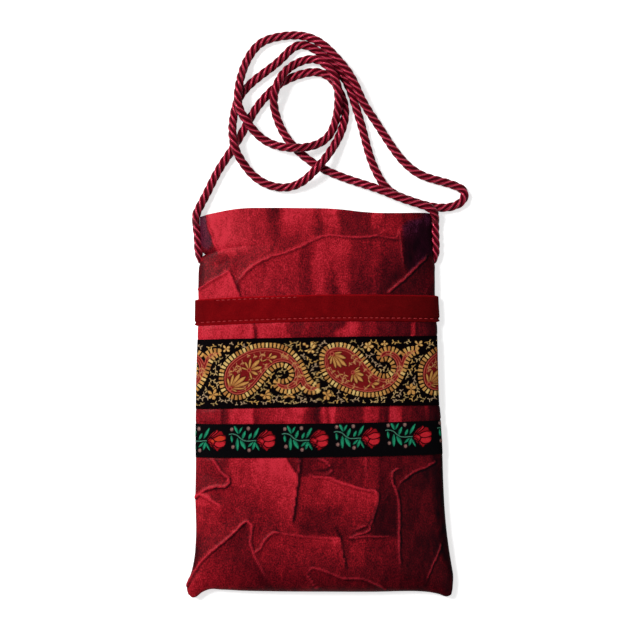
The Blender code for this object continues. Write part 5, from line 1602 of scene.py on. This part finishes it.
def ramp_colours(node, stops):
    """Sets a colour ramp's stops: (place, hex colour)."""
    while len(node.color_ramp.elements) < len(stops):
        node.color_ramp.elements.new(0.5)
    for element, (place, colour) in zip(node.color_ramp.elements, stops):
        element.position = place
        element.color = (*linear(colour), 1)


def dress(piece, made):
    piece.data.materials.clear()
    piece.data.materials.append(made)


print("material helpers ready")

# %% [markdown]
# ### Shot taffeta
#
# Silk-like taffeta, plain-woven in red over a dark weft: smooth and crisp, with a satiny shine that is stronger along a
# crease. The noted painted light and shade picks a colour from a ramp, from nearly black where a facet faces away from
# the light to crimson where it faces it. Its threads are 0.2 mm apart, too fine to show. Noise of about 0.6 mm stands
# for the sparkle of their slubs, strongest in the middle tones, and larger noise for cloudy patches. Ridges get a
# painted highlight along their tops.

# %% Shot taffeta
SHADE_TO_LIGHT_REDS = ("#0E0005", "#380209", "#560610", "#780C17", "#9C1622", "#C42838")
GRAIN_GONE_AT, GRAIN_STRENGTH = 1.15, 2.8  # the tone at which the sparkle would be gone, and how strong it is
taffeta, shader = new_material("shot_taffeta", 0.45, Specular_IOR_Level=0.05)
place = add(taffeta, "TexCoord")
shading_and_tone_at = add(taffeta, "Attribute", attribute_name="shading_and_tone")
ridge_highlight_at = add(taffeta, "Attribute", attribute_name="ridge")
stretch = add(taffeta, "Mapping", [("Vector", place, "Object")], Scale=(1.0, 0.7, 1.0))
slub = add(taffeta, "TexNoise", [("Vector", stretch, "Vector")], Scale=1600.0, Detail=1.0)
upright = add(taffeta, "Mapping", [("Vector", place, "Object")], Scale=(1.0, 0.4, 1.0))
cloud = add(taffeta, "TexNoise", [("Vector", upright, "Vector")], Scale=230.0, Detail=3.0)
slub_tone = add(taffeta, "MapRange", [("Value", slub, "Fac")], From_Min=0.28, From_Max=0.72, To_Min=-0.25, To_Max=0.25)
cloud_tone = add(taffeta, "MapRange", [("Value", cloud, "Fac")], To_Min=-0.1, To_Max=0.1)
grain = add(taffeta, "Math", [(0, slub_tone, "Result"), (1, cloud_tone, "Result")], operation="ADD")
darker_by = add(taffeta, "Math", [(1, shading_and_tone_at, "Fac")], operation="SUBTRACT")
darker_by.inputs[0].default_value = GRAIN_GONE_AT
middling = add(taffeta, "Math", [(0, darker_by, "Value"), (1, shading_and_tone_at, "Fac")], operation="MULTIPLY")
livelier = add(taffeta, "Math", [(0, grain, "Value"), (1, middling, "Value")], operation="MULTIPLY")
toned = add(taffeta, "Math", [(0, livelier, "Value"), (2, shading_and_tone_at, "Fac")], operation="MULTIPLY_ADD")
toned.inputs[1].default_value = GRAIN_STRENGTH
cloth_colour = add(taffeta, "ValToRGB", [("Fac", toned, "Value")])
ramp_colours(cloth_colour, [(number / 5, red) for number, red in enumerate(SHADE_TO_LIGHT_REDS)])
sparkle = add(taffeta, "MapRange", [("Value", slub, "Fac")], From_Min=0.3, From_Max=0.7, To_Min=0.45, To_Max=1.3)
lit_ridge = add(taffeta, "Math", [(0, ridge_highlight_at, "Fac"), (1, sparkle, "Result")], operation="MULTIPLY")
ridge_highlight_colour = add(taffeta, "Mix", [("Factor", lit_ridge, "Value")], data_type="RGBA")
join(taffeta, cloth_colour, "Color", ridge_highlight_colour, "A")
# Painted highlight along the ridges, in the brightest red
ridge_highlight_colour.inputs["B"].default_value = (*linear(SHADE_TO_LIGHT_REDS[-1]), 1)
# Painted shade in the weft's purple, mixed in where the cloth turns from the light
weft_in_shade_at = add(taffeta, "Attribute", attribute_name="weft_in_shade")
weft_in_shade_colour = add(taffeta, "ValToRGB", [("Fac", toned, "Value")])
ramp_colours(weft_in_shade_colour, [(0.0, "#120007"), (0.15, "#1E0210"), (0.35, "#481832"), (0.7, "#6A2A40")])
shot = add(taffeta, "Mix", [("Factor", weft_in_shade_at, "Fac")], data_type="RGBA")
join(taffeta, ridge_highlight_colour, "Result", shot, "A")
join(taffeta, weft_in_shade_colour, "Color", shot, "B")
join(taffeta, shot, "Result", shader, "Base Color")
bump = add(taffeta, "Bump", [("Height", slub, "Fac")], Strength=0.25, Distance=0.0002)
join(taffeta, bump, "Normal", shader, "Normal")
dress(front, taffeta)
dress(back, taffeta)
print(taffeta.name, "has", len(taffeta.node_tree.nodes), "nodes")

# %% [markdown]
# ### Lining cloth
#
# A thin plain-woven acetate in dark red. It lies in shadow and is seen only inside the mouth, so one
# noise for its threads is enough, in place of a modelled weave that nobody would see.

# %% Lining cloth
lining_cloth, shader = new_material("acetate_lining", 0.55, Specular_IOR_Level=0.2)
place = add(lining_cloth, "TexCoord")
thread = add(lining_cloth, "TexNoise", [("Vector", place, "Object")], Scale=900.0, Detail=2.0)
thread_colour = add(lining_cloth, "ValToRGB", [("Fac", thread, "Fac")])
ramp_colours(thread_colour, [(0.3, "#2A0810"), (0.7, "#420E1A")])
join(lining_cloth, thread_colour, "Color", shader, "Base Color")
bump = add(lining_cloth, "Bump", [("Height", thread, "Fac")], Strength=0.3, Distance=0.0002)
join(lining_cloth, bump, "Normal", shader, "Normal")
dress(lining, lining_cloth)
print(lining_cloth.name, "on the lining")

# %% [markdown]
# ### Velvet
#
# Rayon velvet: its pile of upright fibres takes light in, and gives it back at the edges as a soft sheen.
# A sheen alone would be too even, so two noises stand for the fibres and for crushed patches. The noted tone is painted
# light and shade: a painted highlight along the selvedges, light on the left half, and shade towards the right and at
# the far left end, as in the photograph.

# %% Velvet
velvet, shader = new_material(
    "rayon_velvet", 0.9, Sheen_Weight=0.08, Sheen_Roughness=0.35, Sheen_Tint=(*linear("#D04050"), 1),
    Specular_IOR_Level=0.05,
)
place = add(velvet, "TexCoord")
pile = add(velvet, "TexNoise", [("Vector", place, "Object")], Scale=1500.0, Detail=2.0)
crushed = add(velvet, "TexNoise", [("Vector", place, "Object")], Scale=160.0, Detail=3.0)
both = add(velvet, "Math", [(0, pile, "Fac"), (1, crushed, "Fac")], operation="ADD")
half = add(velvet, "Math", [(0, both, "Value")], operation="MULTIPLY")
half.inputs[1].default_value = 0.5
pile_colour = add(velvet, "ValToRGB", [("Fac", half, "Value")])
ramp_colours(pile_colour, [(0.3, "#620006"), (0.5, "#760208"), (0.72, "#88060D")])
shading_and_tone_at = add(velvet, "Attribute", attribute_name="shading_and_tone")
lit_pile = add(velvet, "VectorMath", [(0, pile_colour, "Color"), (1, shading_and_tone_at, "Fac")], operation="MULTIPLY")
join(velvet, lit_pile, "Vector", shader, "Base Color")
bump = add(velvet, "Bump", [("Height", pile, "Fac")], Strength=0.7, Distance=0.0004)
join(velvet, bump, "Normal", shader, "Normal")
dress(band, velvet)
print(velvet.name, "on the band")

# %% [markdown]
# ### Sewing thread
#
# Mercerised cotton: two plies that shine a little. The plies could be modelled, but a thread is less than a
# pixel wide, so a fine wave along the piece stands for their twist.

# %% Sewing thread


def thread_material(name, light, dark):
    made, shader = new_material(name, 0.6, Specular_IOR_Level=0.2)
    place = add(made, "TexCoord")
    plies = add(made, "TexWave", [("Vector", place, "Object")], Scale=700.0, Distortion=1.0, bands_direction="DIAGONAL")
    shade = add(made, "ValToRGB", [("Fac", plies, "Fac")])
    ramp_colours(shade, [(0.2, dark), (0.8, light)])
    join(made, shade, "Color", shader, "Base Color")
    bump = add(made, "Bump", [("Height", plies, "Fac")], Strength=0.4, Distance=0.0001)
    join(made, bump, "Normal", shader, "Normal")
    return made


dress(topstitching, thread_material("topstitch_cotton", "#BC3438", "#921C22"))
tack_cotton = thread_material("tack_cotton", "#7A1C28", "#4A0C16")
for thread in tack_threads:
    dress(thread, tack_cotton)
print(len(tack_threads), "tacks and the topstitching have their thread")

# %% [markdown]
# ### Jacquard ribbon
#
# Polyester jacquard: the floats are smooth and shine, the black ground is a dull close twill. The colours
# were laid on the ribbon's own points as it was woven. A rib and an uneven thread brightness go over them.

# %% Jacquard ribbon


def ribbon_material(name, piece):
    made, shader = new_material(name, 0.5, Specular_IOR_Level=0.01)
    threads = add(made, "Attribute", attribute_name="threads")
    place = add(made, "TexCoord")
    rib = add(made, "TexWave", [("Vector", place, "Object")], Scale=520.0, bands_direction="Y", Distortion=0.4)
    pick = add(made, "TexNoise", [("Vector", place, "Object")], Scale=1600.0, Detail=1.0)
    uneven = add(made, "MapRange", [("Value", pick, "Fac")], To_Min=0.55, To_Max=1.35)
    shaded = add(made, "VectorMath", [(0, threads, "Color"), (1, uneven, "Result")], operation="MULTIPLY")
    join(made, shaded, "Vector", shader, "Base Color")
    bump = add(made, "Bump", [("Height", rib, "Fac")], Strength=0.35, Distance=0.00012)
    join(made, bump, "Normal", shader, "Normal")
    dress(piece, made)


ribbon_material("paisley_jacquard", paisley)
ribbon_material("rose_jacquard", roses)
print("both ribbons are dressed")

# %% [markdown]
# ### Twisted cord
#
# Rayon yarn: filaments that lie side by side and shine like satin. They run along the cord while its plies turn, so
# fine streaks follow the strap's own UV map. Grooves are dull, and painted nearly black as shade. Crests get a thin
# pink painted highlight, which a plain gloss would show only where the cord faces the lamp.

# %% Twisted cord
satin, shader = new_material("rayon_cord", 0.3, Specular_IOR_Level=0.6, Specular_Tint=(*linear("#FF6080"), 1))
strand = add(satin, "UVMap")
streak_scale = add(satin, "Mapping", [("Vector", strand, "UV")], Scale=(420.0, 60.0, 1.0))
streak = add(satin, "TexNoise", [("Vector", streak_scale, "Vector")], Scale=1.0, Detail=2.0)
yarn = add(satin, "ValToRGB", [("Fac", streak, "Fac")])
ramp_colours(yarn, [(0.25, "#4A0410"), (0.5, "#700818"), (0.78, "#981428")])
groove_at = add(satin, "Attribute", attribute_name="groove")
shaded_yarn = add(satin, "Mix", [("Factor", groove_at, "Fac")], data_type="RGBA")
join(satin, yarn, "Color", shaded_yarn, "A")
# Painted shade, nearly black, in the grooves
shaded_yarn.inputs["B"].default_value = (*linear("#200004"), 1)
crest_at = add(satin, "Attribute", attribute_name="crest")
gleam = add(satin, "Math", [(0, crest_at, "Fac"), (1, streak, "Fac"), (2, crest_at, "Fac")], operation="MULTIPLY_ADD")
gleam.use_clamp = True
satin_shine = add(satin, "Mix", [("Factor", gleam, "Value")], data_type="RGBA")
join(satin, shaded_yarn, "Result", satin_shine, "A")
# Painted highlight, a thin pink line along the crests
satin_shine.inputs["B"].default_value = (*linear("#C04058"), 1)
duller = add(satin, "MapRange", [("Value", groove_at, "Fac")], To_Min=0.2, To_Max=0.95)
join(satin, duller, "Result", shader, "Roughness")
join(satin, satin_shine, "Result", shader, "Base Color")
bump = add(satin, "Bump", [("Height", streak, "Fac")], Strength=0.35, Distance=0.0002)
join(satin, bump, "Normal", shader, "Normal")
dress(cord, satin)
print(len(bpy.data.materials), "materials")

# %% [markdown]
# ## Table, light and sky
#
# The photograph has a plain white ground and soft light from the upper left. A large floor is lifted to white
# for the camera only, so it throws no more light on the bag, and it keeps the bag's shadow. One large softbox
# lights from the upper left, a weak one fills from the other side, and a dim white sky does the rest.

# %% Floor and light
bpy.ops.object.select_all(action="DESELECT")
bpy.ops.mesh.primitive_plane_add(size=6, location=(0, 0, 0))
floor = bpy.context.object
floor.name = "table"
table, shader = new_material("white_paper", 0.9)
shader.inputs["Base Color"].default_value = (*linear("#F4F4F4"), 1)
shader.inputs["Specular IOR Level"].default_value = 0.0
seen = add(table, "LightPath")
lift = add(table, "Math", [(0, seen, "Is Camera Ray")], operation="MULTIPLY")
lift.inputs[1].default_value = 0.6
shader.inputs["Emission Color"].default_value = (1, 1, 1, 1)
join(table, lift, "Value", shader, "Emission Strength")
dress(floor, table)


def softbox(name, place, size, watts, target=(0, 0.04, 0)):
    """A square soft light that faces the bag."""
    bpy.ops.object.select_all(action="DESELECT")
    bpy.ops.object.light_add(type="AREA", location=place)
    lamp = bpy.context.object
    lamp.name = name
    lamp.data.size = size
    lamp.data.energy = watts
    way = np.array(target) - np.array(place)
    lamp.rotation_euler = (math.atan2(math.hypot(way[0], way[1]), -way[2]), 0, math.atan2(way[1], way[0]) - QUARTER)
    return lamp


softbox("key_softbox", (-1.1, 0.75, 1.25), 0.7, 38.0)
softbox("fill_softbox", (0.9, -0.5, 1.6), 1.2, 4.0)
world = bpy.data.worlds.new("studio")
world.use_nodes = True
world.node_tree.nodes["Background"].inputs["Color"].default_value = (1, 1, 1, 1)
world.node_tree.nodes["Background"].inputs["Strength"].default_value = 0.15
bpy.context.scene.world = world
bpy.context.scene.view_settings.view_transform = "Standard"
print("two softboxes and a dim white sky")

# %% [markdown]
# ## The pieces in place of the solids
#
# Each piece is keyed by the solid that it stands for. That solid is hidden, and the piece is attached to the bag's
# root.

# %% The pieces in place of the solids
pieces = {
    "front_panel": front, "back_panel": back, "lining": lining, "velvet_band": band,
    "paisley_ribbon": paisley, "rose_ribbon": roses, "shoulder_cord": cord,
    "cord_tack_left": tack_threads[0], "cord_tack_right": tack_threads[1],
}
for node, piece in pieces.items():
    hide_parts(node)
    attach(piece, "root")
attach(topstitching, "root")

print(len(pieces), "pieces stand for the solids, and the topstitching rides with them")
